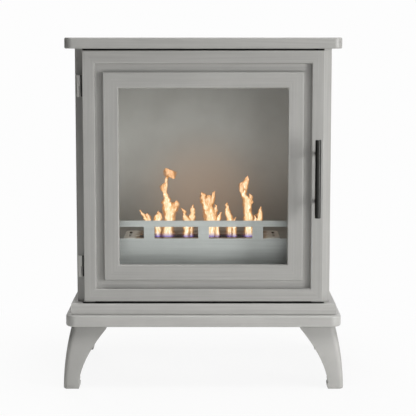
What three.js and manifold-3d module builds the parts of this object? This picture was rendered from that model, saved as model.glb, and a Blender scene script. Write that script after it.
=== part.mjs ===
// Bioethanol fireplace: a folded sheet casing with a hinged glass door, a lift-out burner
// with a sliding flame shutter, and a two-level plinth on four cast legs.
// Millimetres, +Z up, the door faces -Y. The origin is on the floor, under the middle of the outline.
import * as THREE from "three";
import { mergeVertices } from "three/addons/utils/BufferGeometryUtils.js";
import Module from "manifold-3d";

const wasm = await Module();
wasm.setup();

// ---------------------------------------------------------------- driving dimensions

// Sheet metal
const seat = 0.3; // gap between pieces that touch
const sheet = 1.5; // casing, chamber and door sheet
const rearSheet = 1.2;
const traySheet = 2; // top plate and plinth trays
const bendInside = 1; // inside radius of the folds

// Pan-head screws, as shares of the thread's diameter
const panHeadWidth = 1.9;
const panHeadHeight = 0.6;

// Casing
const bodyWidth = 517;
const bodyDepth = 330.5;
const bodyHeight = 514.5;
const cant = 15.5; // 45 degree face on each front corner
const frontFlange = 22; // from the cant to the chamber opening
const rearFlange = 22.5;
const railHeight = 28;
const railReturn = 20;
const panLip = 15; // lips of the pans that close the casing above and below
const reliefWidth = 8; // bend relief at the foot of each cant
const reliefHeight = 2.8;

// Top plate
const topHeight = 22;
const topOverhang = 18.5; // past the casing's sides and back
const topFrontOverhang = 24.5;
const topCornerRadius = 17.5;
const topEdge = 2.5;
const topLip = 40; // return lip under the tray

// Plinth
const stepHeight = 22.5;
const stepLedge = 10.5; // step past the casing's sides and back
const stepEdge = 0.8;
const stepLip = 25;
const plateHeight = 24;
const plateLedge = 11.5; // plate past the step, all round
const plateCornerRadius = 22.5;
const plateEdge = 4;
const plateLip = 25;
const plateGusset = 88; // corner gussets that carry the leg flanges

// Legs
const legHeight = 126;
const footSplay = 4.5; // foot past the plinth plate
const footWidth = 30;
const legDraw = 15.8; // how far the outer face draws in at the top
const legFlare = 61; // how far the inner face spreads at the top
const legFlareRate = 1.8;
const legFootRadius = 9; // outer corner of the section, at the foot
const legTopRadius = 14; // and at the top
const legWall = 8;
const legFlange = 5;
const pocketPast = 20; // pocket cut past the inner face
const soleHeight = 18; // solid stretch above the floor
const soleEdge = 2; // height of the chamfer round the sole
const soleChamfer = 1;
const toeLip = 2;
const toeHeight = 10;
const legBoltInset = 48; // from the foot's outer corner
const legBoltDiameter = 8;
const legBoltHead = 5.3;
const legBoltCorners = 15; // across the head's corners
const legBoltPast = 8; // shank past the plinth plate's gusset

// Door
const doorInset = 1; // door edge inside the cant's fold
const doorGapBottom = 4.5;
const doorGapTop = 3.5;
const doorDepth = 14.2;
const doorGap = 1.8; // from the door's back to the casing
const outerStile = 25;
const outerRail = 26;
const channelStile = 16;
const channelRail = 17;
const innerStile = 31;
const innerRail = 32;
const channelDepth = 11; // recessed panel behind the outer frame's face
const innerSetback = 0.5; // inner frame's face behind the outer frame's face
const doorBend = 2.5; // outside radius of the frames' edges
const windowReveal = 2; // channel panel's opening past the inner frame
const gasketWidth = 10;
const gasketThickness = 1.4;
const glassThickness = 4;
const glassEdge = 0.5; // ground chamfer
const glassPlay = 1; // glass edge to the retainer
const retainerGrip = 8; // lip over the glass
const retainerFoot = 14;
const retainerScrewInset = 60; // from the retainer's corners, along its stiles
const retainerScrewDiameter = 4;
const retainerScrewPast = 5; // thread past the sheets

// Handle
const handleLength = 156;
const barDiameter = 12;
const barChamfer = 0.8;
const postSpacing = 96;
const postDiameter = 8;
const postSocket = 3; // depth of the posts' seats in the bar
const handleReach = 38; // door face to the bar's axis
const handleInset = 14.5; // door edge to the bar's axis
const handleScrewDiameter = 5;
const handleScrewReach = 10;
const handleBoreEnd = 1; // bore past the screw's end

// Hinges
const hingeHeight = 43;
const hingeEnd = 49.5; // door end to the near end of the hinge
const hingeOut = 9; // door edge to the hinge axis
const hingeBack = 12; // door face to the hinge axis
const barrelDiameter = 6.5;
const hingePinDiameter = 3.4;
const leafThickness = 1.2;
const cabinetLeafWidth = 23;
const doorLeafMargin = 1.5; // pad's edge to the door's face and back

// Magnet catch and strike plate
const magnetWidth = 14;
const magnetHeight = 50;
const magnetDepth = 12;
const strikeHeight = 60;
const strikeThickness = 1.2;

// Fire chamber
const chamberReveal = 1.5; // chamber wall outside the opening's edge
const rearDuct = 22.8; // air gap behind the chamber
const wallFlange = 16;
const shelfRise = 87.4; // shelf above the chamber floor
const shelfLip = 20;
const guardSetback = 59; // guard behind the casing's front
const guardHeight = 133.5;
const guardRail = 12.8;
const guardFlange = 15;
const windowHeight = 24.5;
const windowCount = 4;
const windowPost = 22;
const guardEnd = 8; // plain end past the outer windows

// Burner
const burnerShift = -3.5; // burner's place left of the middle
const burnerGap = 2.5; // guard to burner
const boxWidth = 300;
const boxDepth = 94;
const boxHeight = 58;
const boxRim = 6;
const boxCornerRadius = 8;
const cutoutPlay = 1; // shelf cut-out round the box
const woolHeight = 54;
const woolPlay = 2;
const woolEdge = 2;
const coverLap = 3; // cover's front and back past the box's rim
const coverPlay = 4.5; // cover's end walls to the shutter
const coverHeight = 9.7;
const coverRadius = 12;
const coverEdge = 1.2;
const flameEnd = 20; // box's end to the flame opening
const flameDepth = 45;
const flameSetback = 11; // cover's front edge to the flame opening
const flameRadius = 4;

// Flame shutter
const shutterPlay = 1; // shutter's ends past the box's rim
const shutterLap = 3; // shutter past the flame opening, before and behind
const shutterRadius = 6;
const shutterRest = 2.5; // stored shutter's back edge to the cover's back face
const shutterTravel = 52;
const shutterPinDiameter = 4.4;
const pinHeadDiameter = 7;
const pinHeadHeight = 1.5;
const pinSetback = 20; // pin behind the shutter's front edge
const pinInset = 6; // pin inside the shutter's end
const slotPlay = 0.3; // slot past the pin, all round

// Back panel
const panelMargin = 1;
const ventRows = 2;
const ventColumns = 8;
const ventWidth = 8;
const ventHeight = 60;
const ventPitch = 44;
const ventInset = 75; // casing's top or bottom to the middle of a row
const rearScrewInset = 30;
const rearScrewDiameter = 4;
const rearScrewPast = 4; // thread past the sheets

// ---------------------------------------------------------------- levels and planes

const stepWidth = bodyWidth + 2 * stepLedge;
const stepDepth = doorDepth + doorGap + bodyDepth + stepLedge;
const plateWidth = stepWidth + 2 * plateLedge;
const plateDepth = stepDepth + 2 * plateLedge;
const topWidth = bodyWidth + 2 * topOverhang;
const topDepth = topFrontOverhang + bodyDepth + topOverhang;

const plateBottom = legHeight + seat;
const stepBottom = plateBottom + plateHeight + seat;
const stepTop = stepBottom + stepHeight;
const bodyBottom = stepTop + seat;
const bodyTop = bodyBottom + bodyHeight;
const topBottom = bodyTop + seat;

const doorFront = -stepDepth / 2; // door face, flush with the step
const doorBack = doorFront + doorDepth;
const bodyFront = doorBack + doorGap;
const bodyRear = bodyFront + bodyDepth;
const flangeEdge = bodyWidth / 2 - cant - frontFlange; // half the chamber opening
const openingBottom = bodyBottom + railHeight;
const openingTop = bodyTop - railHeight;

const chamberWall = flangeEdge + chamberReveal;
const chamberFront = bodyFront + 2 * (sheet + seat); // behind the flange and the pans' lips
const chamberBack = bodyRear - rearSheet - rearDuct - sheet;
const chamberFloor = openingBottom - sheet - seat;
const chamberFoot = bodyBottom + sheet + seat; // stands on the base pan
const wallTop = openingTop + sheet;
const wallBack = chamberBack - seat;
const wallOuter = chamberWall + sheet + wallFlange;
const guardFront = bodyFront + guardSetback;
const shelfTop = chamberFloor + shelfRise;
const shelfFront = guardFront + sheet + seat;

const shutterWidth = boxWidth + 2 * (boxRim + shutterPlay);
const shutterDepth = flameDepth + 2 * shutterLap;
const slotSpacing = shutterWidth - 2 * pinInset;
const coverWidth = shutterWidth + 2 * (sheet + coverPlay);
const coverDepth = boxDepth + 2 * (boxRim + coverLap);
const flameWidth = boxWidth - 2 * flameEnd;
const burnerBottom = shelfTop + seat;
const coverFront = guardFront + sheet + burnerGap;
const coverMiddle = coverFront + coverDepth / 2;
const coverTop = burnerBottom + coverHeight;
const flameFront = coverFront + flameSetback;
const shutterFront = coverFront + coverDepth - shutterRest - shutterDepth;
const shutterTop = coverTop - sheet - seat;
const boxRimTop = burnerBottom + sheet;
const pinY = shutterFront + pinSetback;

const doorWidth = bodyWidth - 2 * (cant + doorInset);
const doorBottom = stepTop + doorGapBottom;
const doorHeight = topBottom - doorGapTop - doorBottom;
const doorMiddle = doorBottom + doorHeight / 2;
const innerWidth = doorWidth - 2 * (outerStile + channelStile);
const innerHeight = doorHeight - 2 * (outerRail + channelRail);
const windowWidth = innerWidth - 2 * innerStile;
const windowTall = innerHeight - 2 * innerRail;
const panelBack = channelDepth + sheet; // depths here are measured from the door's face
const glassWidth = windowWidth + 2 * (windowReveal + gasketWidth);
const glassHeight = windowTall + 2 * (windowReveal + gasketWidth);
const gasketFront = panelBack + seat;
const glassFront = gasketFront + gasketThickness + seat;
const glassBack = glassFront + glassThickness;
const retainerRim = retainerFoot + sheet + glassPlay; // retainer's edge past the glass
const retainerWidth = glassWidth + 2 * retainerRim;
const retainerHeight = glassHeight + 2 * retainerRim;

const handleX = doorWidth / 2 - handleInset;
const hingeX = -doorWidth / 2 - hingeOut;
const hingeY = doorFront + hingeBack;
const magnetX = flangeEdge + frontFlange / 2 + chamberReveal;

// ---------------------------------------------------------------- shapes

const arcSteps = 3; // each quarter arc gets twice as many chords
const bendSteps = 3; // chords of a fold
const screwSides = 8;
const holeSides = 10;
const roundSides = 12;
const barrelSides = 16;
const barSides = 20;

function rectangle(width, depth) {
  const x = width / 2;
  const y = depth / 2;
  return new THREE.Shape([
    new THREE.Vector2(-x, -y),
    new THREE.Vector2(x, -y),
    new THREE.Vector2(x, y),
    new THREE.Vector2(-x, y),
  ]);
}

// Rounded rectangle about the origin, as a shape or as a hole's path.
function rounded(width, depth, radius, Outline = THREE.Shape, cx = 0, cy = 0) {
  const x = width / 2 - radius;
  const y = depth / 2 - radius;
  const quarter = Math.PI / 2;
  const outline = new Outline();
  outline.absarc(cx + x, cy + y, radius, 0, quarter);
  outline.absarc(cx - x, cy + y, radius, quarter, 2 * quarter);
  outline.absarc(cx - x, cy - y, radius, 2 * quarter, 3 * quarter);
  outline.absarc(cx + x, cy - y, radius, 3 * quarter, 4 * quarter);
  outline.closePath();
  return outline;
}

// Slot with round ends, its length along y.
function slot(width, length, Outline = THREE.Shape, cx = 0, cy = 0) {
  const reach = (length - width) / 2;
  const outline = new Outline();
  outline.absarc(cx, cy + reach, width / 2, 0, Math.PI);
  outline.absarc(cx, cy - reach, width / 2, Math.PI, 2 * Math.PI);
  outline.closePath();
  return outline;
}

function roundHole(diameter, cx, cy, sides = holeSides) {
  const outline = new THREE.Path();
  for (let k = 0; k < sides; k += 1) {
    const angle = (2 * Math.PI * k) / sides;
    const [x, y] = [Math.cos(angle), Math.sin(angle)].map((share) => (share * diameter) / 2);
    outline[k === 0 ? "moveTo" : "lineTo"](cx + x, cy + y);
  }
  return outline;
}

// Slab from z = 0 up, with rounded or chamfered top and bottom edges.
function slab(shape, height, edge = 0, edgeSteps = 1, curveSegments = arcSteps) {
  const geometry = new THREE.ExtrudeGeometry(shape, {
    depth: height - 2 * edge,
    steps: 1,
    curveSegments,
    bevelEnabled: edge > 0,
    bevelThickness: edge,
    bevelSize: edge,
    bevelOffset: -edge,
    bevelSegments: edgeSteps,
  });
  return geometry.translate(0, 0, edge);
}

// Section of a folded sheet. The route follows one face, and the sheet lies on its left.
function foldedSheet(route, thickness = sheet, bend = bendInside, steps = bendSteps) {
  const points = route.map(([x, y]) => new THREE.Vector2(x, y));
  const headings = points.slice(1).map((p, i) => p.clone().sub(points[i]).normalize());
  const leftOf = (heading) => new THREE.Vector2(-heading.y, heading.x);
  const face = [points[0]];
  const sides = [leftOf(headings[0])];
  for (let i = 1; i < points.length - 1; i += 1) {
    const [before, after] = [headings[i - 1], headings[i]];
    const turn = Math.atan2(before.cross(after), before.dot(after));
    const hand = Math.sign(turn);
    const radius = turn > 0 ? bend + thickness : bend;
    const start = points[i].clone().addScaledVector(before, -radius * Math.tan(Math.abs(turn) / 2));
    const centre = start.addScaledVector(leftOf(before), hand * radius);
    for (let k = 0; k <= steps; k += 1) {
      const side = leftOf(before).rotateAround(new THREE.Vector2(), (turn * k) / steps);
      face.push(centre.clone().addScaledVector(side, -hand * radius));
      sides.push(side);
    }
  }
  face.push(points[points.length - 1]);
  sides.push(leftOf(headings[headings.length - 1]));
  const back = face.map((p, i) => p.clone().addScaledVector(sides[i], thickness));
  return new THREE.Shape([...face, ...back.reverse()]);
}

// A section drawn in (y, z), run along X about the middle.
function alongX(shape, length) {
  const turn = new THREE.Matrix4().makeBasis(
    new THREE.Vector3(0, 1, 0),
    new THREE.Vector3(0, 0, 1),
    new THREE.Vector3(1, 0, 0),
  );
  return slab(shape, length).applyMatrix4(turn).translate(-length / 2, 0, 0);
}

// A plate drawn in (x, z), standing with its front face at y = 0.
function upright(shape, thickness, edge = 0) {
  const turn = new THREE.Matrix4().makeBasis(
    new THREE.Vector3(1, 0, 0),
    new THREE.Vector3(0, 0, 1),
    new THREE.Vector3(0, -1, 0),
  );
  return slab(shape, thickness, edge).applyMatrix4(turn).translate(0, thickness, 0);
}

function block(width, depth, height) {
  return new THREE.BoxGeometry(width, depth, height).translate(0, 0, height / 2);
}

// A turned piece on the Z axis. The profile lists radius and height, from the foot's axis up.
function turned(profile, segments = roundSides) {
  const points = profile.map(([radius, height]) => new THREE.Vector2(radius, height));
  return new THREE.LatheGeometry(points, segments).rotateX(Math.PI / 2);
}

function cylinder(diameter, height, segments = roundSides) {
  const r = diameter / 2;
  return turned([[0, 0], [r, 0], [r, height], [0, height]], segments);
}

// Turns a piece made on the Z axis to point along +Y.
function toBack(geometry) {
  return geometry.rotateX(-Math.PI / 2);
}

// Closed surface over rings of equally many points, with flat convex ends.
function loft(rings) {
  const count = rings[0].length;
  const positions = rings.flat().flatMap((p) => [p.x, p.y, p.z]);
  const index = [];
  for (let r = 0; r < rings.length - 1; r += 1) {
    for (let i = 0; i < count; i += 1) {
      const [a, b] = [r * count + i, r * count + ((i + 1) % count)];
      index.push(a, b, b + count, a, b + count, a + count);
    }
  }
  const last = (rings.length - 1) * count;
  for (let i = 1; i < count - 1; i += 1) {
    index.push(0, i + 1, i, last, last + i, last + i + 1);
  }
  const geometry = new THREE.BufferGeometry();
  geometry.setAttribute("position", new THREE.Float32BufferAttribute(positions, 3));
  geometry.setIndex(index);
  return geometry;
}

// Four mitred members of one section, standing in XZ about the middle.
// The section lists [inwards from the outer edge, behind the door's face], counter-clockwise;
// inwards runs over the stile's width and is scaled to the rail's.
function mitredFrame(width, height, stile, rail, section) {
  const corners = [[1, 1], [-1, 1], [-1, -1], [1, -1]];
  const rings = corners.map(([cx, cz]) => section.map(([inwards, behind]) => new THREE.Vector3(
    cx * (width / 2 - inwards),
    behind,
    cz * (height / 2 - inwards * (rail / stile)),
  )));
  const count = section.length;
  const positions = rings.flat().flatMap((p) => [p.x, p.y, p.z]);
  const index = [];
  for (let r = 0; r < corners.length; r += 1) {
    const next = ((r + 1) % corners.length) * count;
    for (let i = 0; i < count; i += 1) {
      const j = (i + 1) % count;
      index.push(r * count + i, next + j, r * count + j, r * count + i, next + i, next + j);
    }
  }
  const geometry = new THREE.BufferGeometry();
  geometry.setAttribute("position", new THREE.Float32BufferAttribute(positions, 3));
  geometry.setIndex(index);
  return geometry;
}

// Section of a frame member folded from sheet: a face with a leg down each edge.
function memberSection(width, face, outerLeg, innerLeg) {
  const bend = doorBend - sheet;
  const outline = foldedSheet(
    [[0, outerLeg], [0, face], [width, face], [width, innerLeg]], sheet, bend);
  return outline.getPoints().map((p) => [p.x, p.y]);
}

// ---------------------------------------------------------------- joins and cuts

function toSolid(geometry) {
  const bare = geometry.clone();
  bare.deleteAttribute("normal");
  bare.deleteAttribute("uv");
  const merged = mergeVertices(bare, 1e-4);
  return new wasm.Manifold(new wasm.Mesh({
    numProp: 3,
    vertProperties: new Float32Array(merged.attributes.position.array),
    triVerts: new Uint32Array(merged.index.array),
  }));
}

function toGeometry(solid) {
  const mesh = solid.getMesh();
  const geometry = new THREE.BufferGeometry();
  geometry.setAttribute("position", new THREE.BufferAttribute(mesh.vertProperties, 3));
  geometry.setIndex(new THREE.BufferAttribute(mesh.triVerts, 1));
  geometry.computeVertexNormals();
  return geometry;
}

function cut(geometry, ...tools) {
  return toGeometry(tools.reduce((solid, tool) => solid.subtract(toSolid(tool)), toSolid(geometry)));
}

function join(...geometries) {
  return toGeometry(geometries.map(toSolid).reduce((solid, other) => solid.add(other)));
}

// ---------------------------------------------------------------- finishes

const finishes = {
  paint: { color: 0xa09f9c, roughness: 0.45, metalness: 0.3 },
  castPaint: { color: 0xa3a29f, roughness: 0.5, metalness: 0.3 },
  chamberPaint: { color: 0x9c9a96, roughness: 0.6, metalness: 0.2 },
  stainless: { color: 0xc9c7c2, roughness: 0.3, metalness: 0.9 },
  handle: { color: 0x3c3b3a, roughness: 0.35, metalness: 0.7 },
  screw: { color: 0x55534f, roughness: 0.4, metalness: 0.8 },
  glass: { color: 0xdfe5e4, roughness: 0.05, metalness: 0, transparent: true, opacity: 0.3 },
  gasket: { color: 0x35322e, roughness: 0.95, metalness: 0 },
  wool: { color: 0xe9e4d8, roughness: 1, metalness: 0 },
  magnet: { color: 0x2a2a2b, roughness: 0.6, metalness: 0.2 },
};

function piece(parent, name, geometry, finish, x = 0, y = 0, z = 0) {
  const mesh = new THREE.Mesh(geometry, new THREE.MeshStandardMaterial(finishes[finish]));
  mesh.name = name;
  mesh.position.set(x, y, z);
  parent.add(mesh);
  return mesh;
}

const fireplace = new THREE.Group();
const cabinet = new THREE.Group();
const door = new THREE.Group();
const burner = new THREE.Group();
const shutter = new THREE.Group();
fireplace.add(cabinet, door, burner, shutter);

// ---------------------------------------------------------------- trays and plinth

// Tray open below: a skin, four walls, a return lip and a square gusset in each corner.
function tray(width, depth, height, radius, edge, lip, gusset = lip) {
  const outline = (inset) => (radius > 0
    ? rounded(width - 2 * inset, depth - 2 * inset, radius - inset)
    : rectangle(width - 2 * inset, depth - 2 * inset));
  const outer = slab(outline(0), height, edge, radius > 0 ? bendSteps : 1);
  const cavity = slab(outline(traySheet), height - 2 * traySheet, Math.max(edge - traySheet, 0) / 2);
  const mouths = [[lip, gusset], [gusset, lip]].map(([across, along]) => (
    block(width - 2 * across, depth - 2 * along, 2 * traySheet).translate(0, 0, -traySheet / 2)));
  return cut(outer, cavity.translate(0, 0, traySheet), ...mouths);
}

const topY = bodyFront - topFrontOverhang + topDepth / 2;
const topTray = tray(topWidth, topDepth, topHeight, topCornerRadius, topEdge, topLip);
piece(cabinet, "top_plate", topTray, "paint", 0, topY, topBottom);

const stepTray = tray(stepWidth, stepDepth, stepHeight, 0, stepEdge, stepLip);
piece(cabinet, "plinth_step", stepTray, "paint", 0, 0, stepBottom);

const footX = plateWidth / 2 + footSplay;
const footY = plateDepth / 2 + footSplay;
const legBoltX = footX - legBoltInset;
const legBoltY = footY - legBoltInset;
const legHole = legBoltDiameter + 2 * seat;
const legCorners = [
  ["front_left", -1, -1, Math.PI],
  ["front_right", 1, -1, -Math.PI / 2],
  ["rear_right", 1, 1, 0],
  ["rear_left", -1, 1, Math.PI / 2],
];
const plateHoles = legCorners.map(([, sx, sy]) => (
  cylinder(legHole, 2 * traySheet).translate(sx * legBoltX, sy * legBoltY, -traySheet / 2)));
const plateTray = tray(
  plateWidth, plateDepth, plateHeight, plateCornerRadius, plateEdge, plateLip, plateGusset);
piece(cabinet, "plinth_plate", cut(plateTray, ...plateHoles), "paint", 0, 0, plateBottom);

// ---------------------------------------------------------------- legs

// How far the leg's outer and inner faces lie inside the foot's outer corner at a height.
function outerFace(z) {
  return legDraw * (z / legHeight) ** 2;
}

function innerFace(z) {
  return footWidth + legFlare * (z / legHeight) ** legFlareRate;
}

const cornerChords = 4;
const legRings = 9; // sections between the toe and the flange

// Square section with its outer corner rounded, towards +X +Y.
function legRing(z, near, far, radius) {
  const ring = [new THREE.Vector3(-far, -far, z), new THREE.Vector3(-near, -far, z)];
  for (let k = 0; k <= cornerChords; k += 1) {
    const angle = (Math.PI / 2) * (k / cornerChords);
    const centre = -near - radius;
    ring.push(new THREE.Vector3(
      centre + radius * Math.cos(angle), centre + radius * Math.sin(angle), z));
  }
  ring.push(new THREE.Vector3(-far, -near, z));
  return ring;
}

function legGeometry() {
  const toeTop = toeHeight + toeLip;
  const flangeZ = legHeight - legFlange;
  const levels = [0, soleEdge, toeHeight, toeTop];
  for (let k = 1; k <= legRings; k += 1) {
    levels.push(toeTop + ((flangeZ - toeTop) * k) / legRings);
  }
  levels.push(legHeight);
  const outer = levels.map((z) => {
    const reach = innerFace(Math.min(z, flangeZ)) + (z > flangeZ ? legFlange / 2 : 0);
    const radius = THREE.MathUtils.lerp(legFootRadius, legTopRadius, z / legHeight);
    const chamfer = z === 0 ? soleChamfer : 0;
    return legRing(z, outerFace(z) + chamfer, reach + (z <= toeHeight ? toeLip : 0) - chamfer, radius);
  });
  const pocketLevels = levels.filter((z) => z > soleHeight && z <= flangeZ);
  const pocket = [soleHeight, ...pocketLevels].map((z) => (
    legRing(z, outerFace(z) + legWall, innerFace(z) + pocketPast, legFootRadius / 2)));
  const hole = cylinder(legHole, 3 * legFlange).translate(
    -legBoltInset, -legBoltInset, flangeZ - legFlange);
  return cut(loft(outer), loft(pocket), hole);
}

function legBoltGeometry() {
  const across = legBoltCorners / 2;
  const head = new THREE.CylinderGeometry(across, across, legBoltHead, 6).rotateX(Math.PI / 2);
  const shank = cylinder(legBoltDiameter, legBoltHead / 2 + legFlange + traySheet + legBoltPast);
  return join(head.translate(0, 0, legBoltHead / 2), shank.translate(0, 0, legBoltHead / 2));
}

legCorners.forEach(([corner, sx, sy, turn]) => {
  const leg = piece(cabinet, `leg_${corner}`, legGeometry(), "castPaint", sx * footX, sy * footY);
  leg.rotation.z = turn;
  const boltZ = legHeight - legFlange - seat - legBoltHead;
  piece(cabinet, `leg_bolt_${corner}`, legBoltGeometry(), "screw",
    sx * legBoltX, sy * legBoltY, boltZ);
});

// ---------------------------------------------------------------- casing

// Plan of the casing, drawn in by an inset that follows the canted corners.
function casingPlan(inset, rear) {
  const side = bodyWidth / 2 - inset;
  const front = bodyFront + inset;
  const slant = inset * (Math.SQRT2 - 1);
  const cantX = bodyWidth / 2 - cant - slant;
  const cantY = bodyFront + cant + slant;
  return new THREE.Shape([
    new THREE.Vector2(-cantX, front),
    new THREE.Vector2(cantX, front),
    new THREE.Vector2(side, cantY),
    new THREE.Vector2(side, rear),
    new THREE.Vector2(-side, rear),
    new THREE.Vector2(-side, cantY),
  ]);
}

const flangeBack = bodyRear - rearSheet - seat; // outer face of the rear flanges
const panRear = flangeBack - sheet - seat;

function casingPan() {
  const outer = slab(casingPlan(sheet + seat, panRear), panLip + sheet);
  const inside = slab(casingPlan(2 * sheet + seat, panRear - sheet), panLip + sheet);
  return cut(outer, inside.translate(0, 0, sheet));
}

piece(cabinet, "cabinet_base_panel", casingPan(), "paint", 0, 0, bodyBottom);
const topPan = casingPan().rotateY(Math.PI);
piece(cabinet, "cabinet_top_panel", topPan, "paint", 0, 0, bodyTop);

const rearScrewX = bodyWidth / 2 - rearFlange / 2;
const rearScrewHole = rearScrewDiameter + 2 * seat;
const rearScrewLevels = [bodyBottom + rearScrewInset, bodyTop - rearScrewInset];

function sidePanel(...cuts) {
  const side = bodyWidth / 2;
  const section = foldedSheet([
    [flangeEdge, bodyFront],
    [side - cant, bodyFront],
    [side, bodyFront + cant],
    [side, flangeBack],
    [side - rearFlange, flangeBack],
  ]);
  const relief = block(reliefWidth, reliefWidth, 2 * reliefHeight).translate(
    side - cant + sheet, bodyFront, -reliefHeight);
  const holes = rearScrewLevels.map((z) => (
    toBack(cylinder(rearScrewHole, 4 * sheet, screwSides)).translate(
      rearScrewX, flangeBack - 2 * sheet, z - bodyBottom)));
  return cut(slab(section, bodyHeight), relief, ...holes, ...cuts);
}

const magnetWindow = block(magnetWidth + 2 * seat, 6 * sheet, magnetHeight + 2 * seat).translate(
  magnetX, bodyFront, doorMiddle - bodyBottom - magnetHeight / 2 - seat);
piece(cabinet, "side_panel_right", sidePanel(magnetWindow), "paint", 0, 0, bodyBottom);
piece(cabinet, "side_panel_left", sidePanel(), "paint", 0, 0, bodyBottom).scale.x = -1;

const railLength = 2 * (flangeEdge - seat);
const railFace = railHeight - seat;
const topRail = foldedSheet([[0, railFace], [0, 0], [railReturn, 0]]);
piece(cabinet, "front_rail_top", alongX(topRail, railLength), "paint", 0, bodyFront, openingTop);
const bottomRail = foldedSheet([[railReturn, railFace], [0, railFace], [0, 0]]);
piece(cabinet, "front_rail_bottom", alongX(bottomRail, railLength), "paint",
  0, bodyFront, bodyBottom + seat);

// Back panel with two rows of vent slots, screwed to the rear flanges.
const backPlate = rectangle(bodyWidth - 2 * panelMargin, bodyHeight - 2 * panelMargin);
const ventMiddle = bodyHeight / 2 - ventInset;
for (let row = 0; row < ventRows; row += 1) {
  for (let column = 0; column < ventColumns; column += 1) {
    const x = (column - (ventColumns - 1) / 2) * ventPitch;
    const z = row === 0 ? -ventMiddle : ventMiddle;
    backPlate.holes.push(slot(ventWidth, ventHeight, THREE.Path, x, z));
  }
}
for (const sx of [-1, 1]) {
  for (const z of rearScrewLevels) {
    const level = z - bodyBottom - bodyHeight / 2;
    backPlate.holes.push(roundHole(rearScrewHole, sx * rearScrewX, level));
  }
}
const backPanel = slab(backPlate, rearSheet, 0, 1, 2).applyMatrix4(new THREE.Matrix4().makeBasis(
  new THREE.Vector3(1, 0, 0), new THREE.Vector3(0, 0, 1), new THREE.Vector3(0, -1, 0)));
piece(cabinet, "rear_panel", backPanel, "paint", 0, bodyRear, bodyBottom + bodyHeight / 2);

// Pan-head screw on the Z axis: the shank from z = 0 up, the head above it.
function screwGeometry(
  diameter, reach, headDiameter = diameter * panHeadWidth, headHeight = diameter * panHeadHeight) {
  const [shank, head] = [diameter / 2, headDiameter / 2];
  const crown = 0.6; // share of the head that stays before its edge rounds over
  return turned([
    [0, 0],
    [shank, 0],
    [shank, reach],
    [head, reach],
    [head, reach + headHeight * crown],
    [head * crown, reach + headHeight],
    [0, reach + headHeight],
  ]);
}

const rearScrewReach = rearSheet + 2 * sheet + rearScrewPast;
let rearScrewNumber = 0;
for (const z of rearScrewLevels) {
  for (const sx of [-1, 1]) {
    rearScrewNumber += 1;
    const screw = toBack(screwGeometry(rearScrewDiameter, rearScrewReach));
    piece(cabinet, `rear_panel_screw_${rearScrewNumber}`, screw, "screw",
      sx * rearScrewX, bodyRear + seat - rearScrewReach, z);
  }
}

// ---------------------------------------------------------------- fire chamber

const wallSection = foldedSheet([
  [wallOuter, wallBack],
  [chamberWall, wallBack],
  [chamberWall, chamberFront],
]);
const wallHeight = wallTop - chamberFoot;
piece(cabinet, "firebox_wall_right", slab(wallSection, wallHeight), "chamberPaint",
  0, 0, chamberFoot);
piece(cabinet, "firebox_wall_left", slab(wallSection, wallHeight), "chamberPaint",
  0, 0, chamberFoot).scale.x = -1;

const backWall = block(2 * wallOuter, sheet, wallHeight);
piece(cabinet, "firebox_back", backWall, "chamberPaint", 0, chamberBack + sheet / 2, chamberFoot);

const ceiling = block(2 * wallOuter, chamberBack + sheet - chamberFront, sheet);
piece(cabinet, "firebox_ceiling", ceiling, "chamberPaint",
  0, (chamberBack + sheet + chamberFront) / 2, wallTop + seat);

const floorDepth = wallBack - chamberFront;
const floorHeight = chamberFloor - chamberFoot;
const floorSection = foldedSheet([
  [floorDepth, 0],
  [floorDepth, floorHeight],
  [0, floorHeight],
  [0, 0],
]);
const chamberInside = 2 * (chamberWall - seat);
piece(cabinet, "firebox_floor", alongX(floorSection, chamberInside), "chamberPaint",
  0, chamberFront, chamberFoot);

// Shelf: a tray turned down, with the cut-out that the burner's box drops into.
const shelfDepth = wallBack - shelfFront;
const shelfMiddle = shelfFront + shelfDepth / 2;
const shelfBox = block(chamberInside, shelfDepth, shelfLip);
const shelfHollow = block(chamberInside - 2 * sheet, shelfDepth - 2 * sheet, shelfLip);
const cutoutOutline = rounded(
  boxWidth + 2 * cutoutPlay, boxDepth + 2 * cutoutPlay, boxCornerRadius + cutoutPlay);
const cutout = slab(cutoutOutline, 2 * shelfLip, 0, 1, 1).translate(
  burnerShift, coverMiddle - shelfMiddle, 0);
piece(cabinet, "burner_shelf", cut(shelfBox, shelfHollow.translate(0, 0, -sheet), cutout),
  "chamberPaint", 0, shelfMiddle, shelfTop - shelfLip);

// Flame guard: an upright plate with a foot flange and a row of windows under its top rail.
const guardWidth = chamberInside;
const windowsWidth = guardWidth - 2 * guardEnd - (windowCount - 1) * windowPost;
const windowWide = windowsWidth / windowCount;
const guardSection = foldedSheet([[0, guardHeight], [0, 0], [guardFlange, 0]]);
const guardWindows = [];
for (let k = 0; k < windowCount; k += 1) {
  const x = (k - (windowCount - 1) / 2) * (windowWide + windowPost);
  guardWindows.push(block(windowWide, 4 * sheet, windowHeight).translate(
    x, 0, guardHeight - guardRail - windowHeight));
}
piece(cabinet, "flame_guard", cut(alongX(guardSection, guardWidth), ...guardWindows),
  "stainless", 0, guardFront, chamberFloor + seat);

// ---------------------------------------------------------------- burner

const boxOuter = slab(rounded(boxWidth, boxDepth, boxCornerRadius), boxHeight, 0, 1, 2);
const rimOuter = slab(
  rounded(boxWidth + 2 * boxRim, boxDepth + 2 * boxRim, boxCornerRadius + boxRim), sheet, 0, 1, 2);
const boxInside = slab(
  rounded(boxWidth - 2 * sheet, boxDepth - 2 * sheet, boxCornerRadius - sheet), boxHeight, 0, 1, 2);
const burnerBox = cut(
  join(boxOuter, rimOuter.translate(0, 0, boxHeight - sheet)),
  boxInside.translate(0, 0, sheet));
piece(burner, "burner_box", burnerBox, "stainless",
  burnerShift, coverMiddle, boxRimTop - boxHeight);

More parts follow.
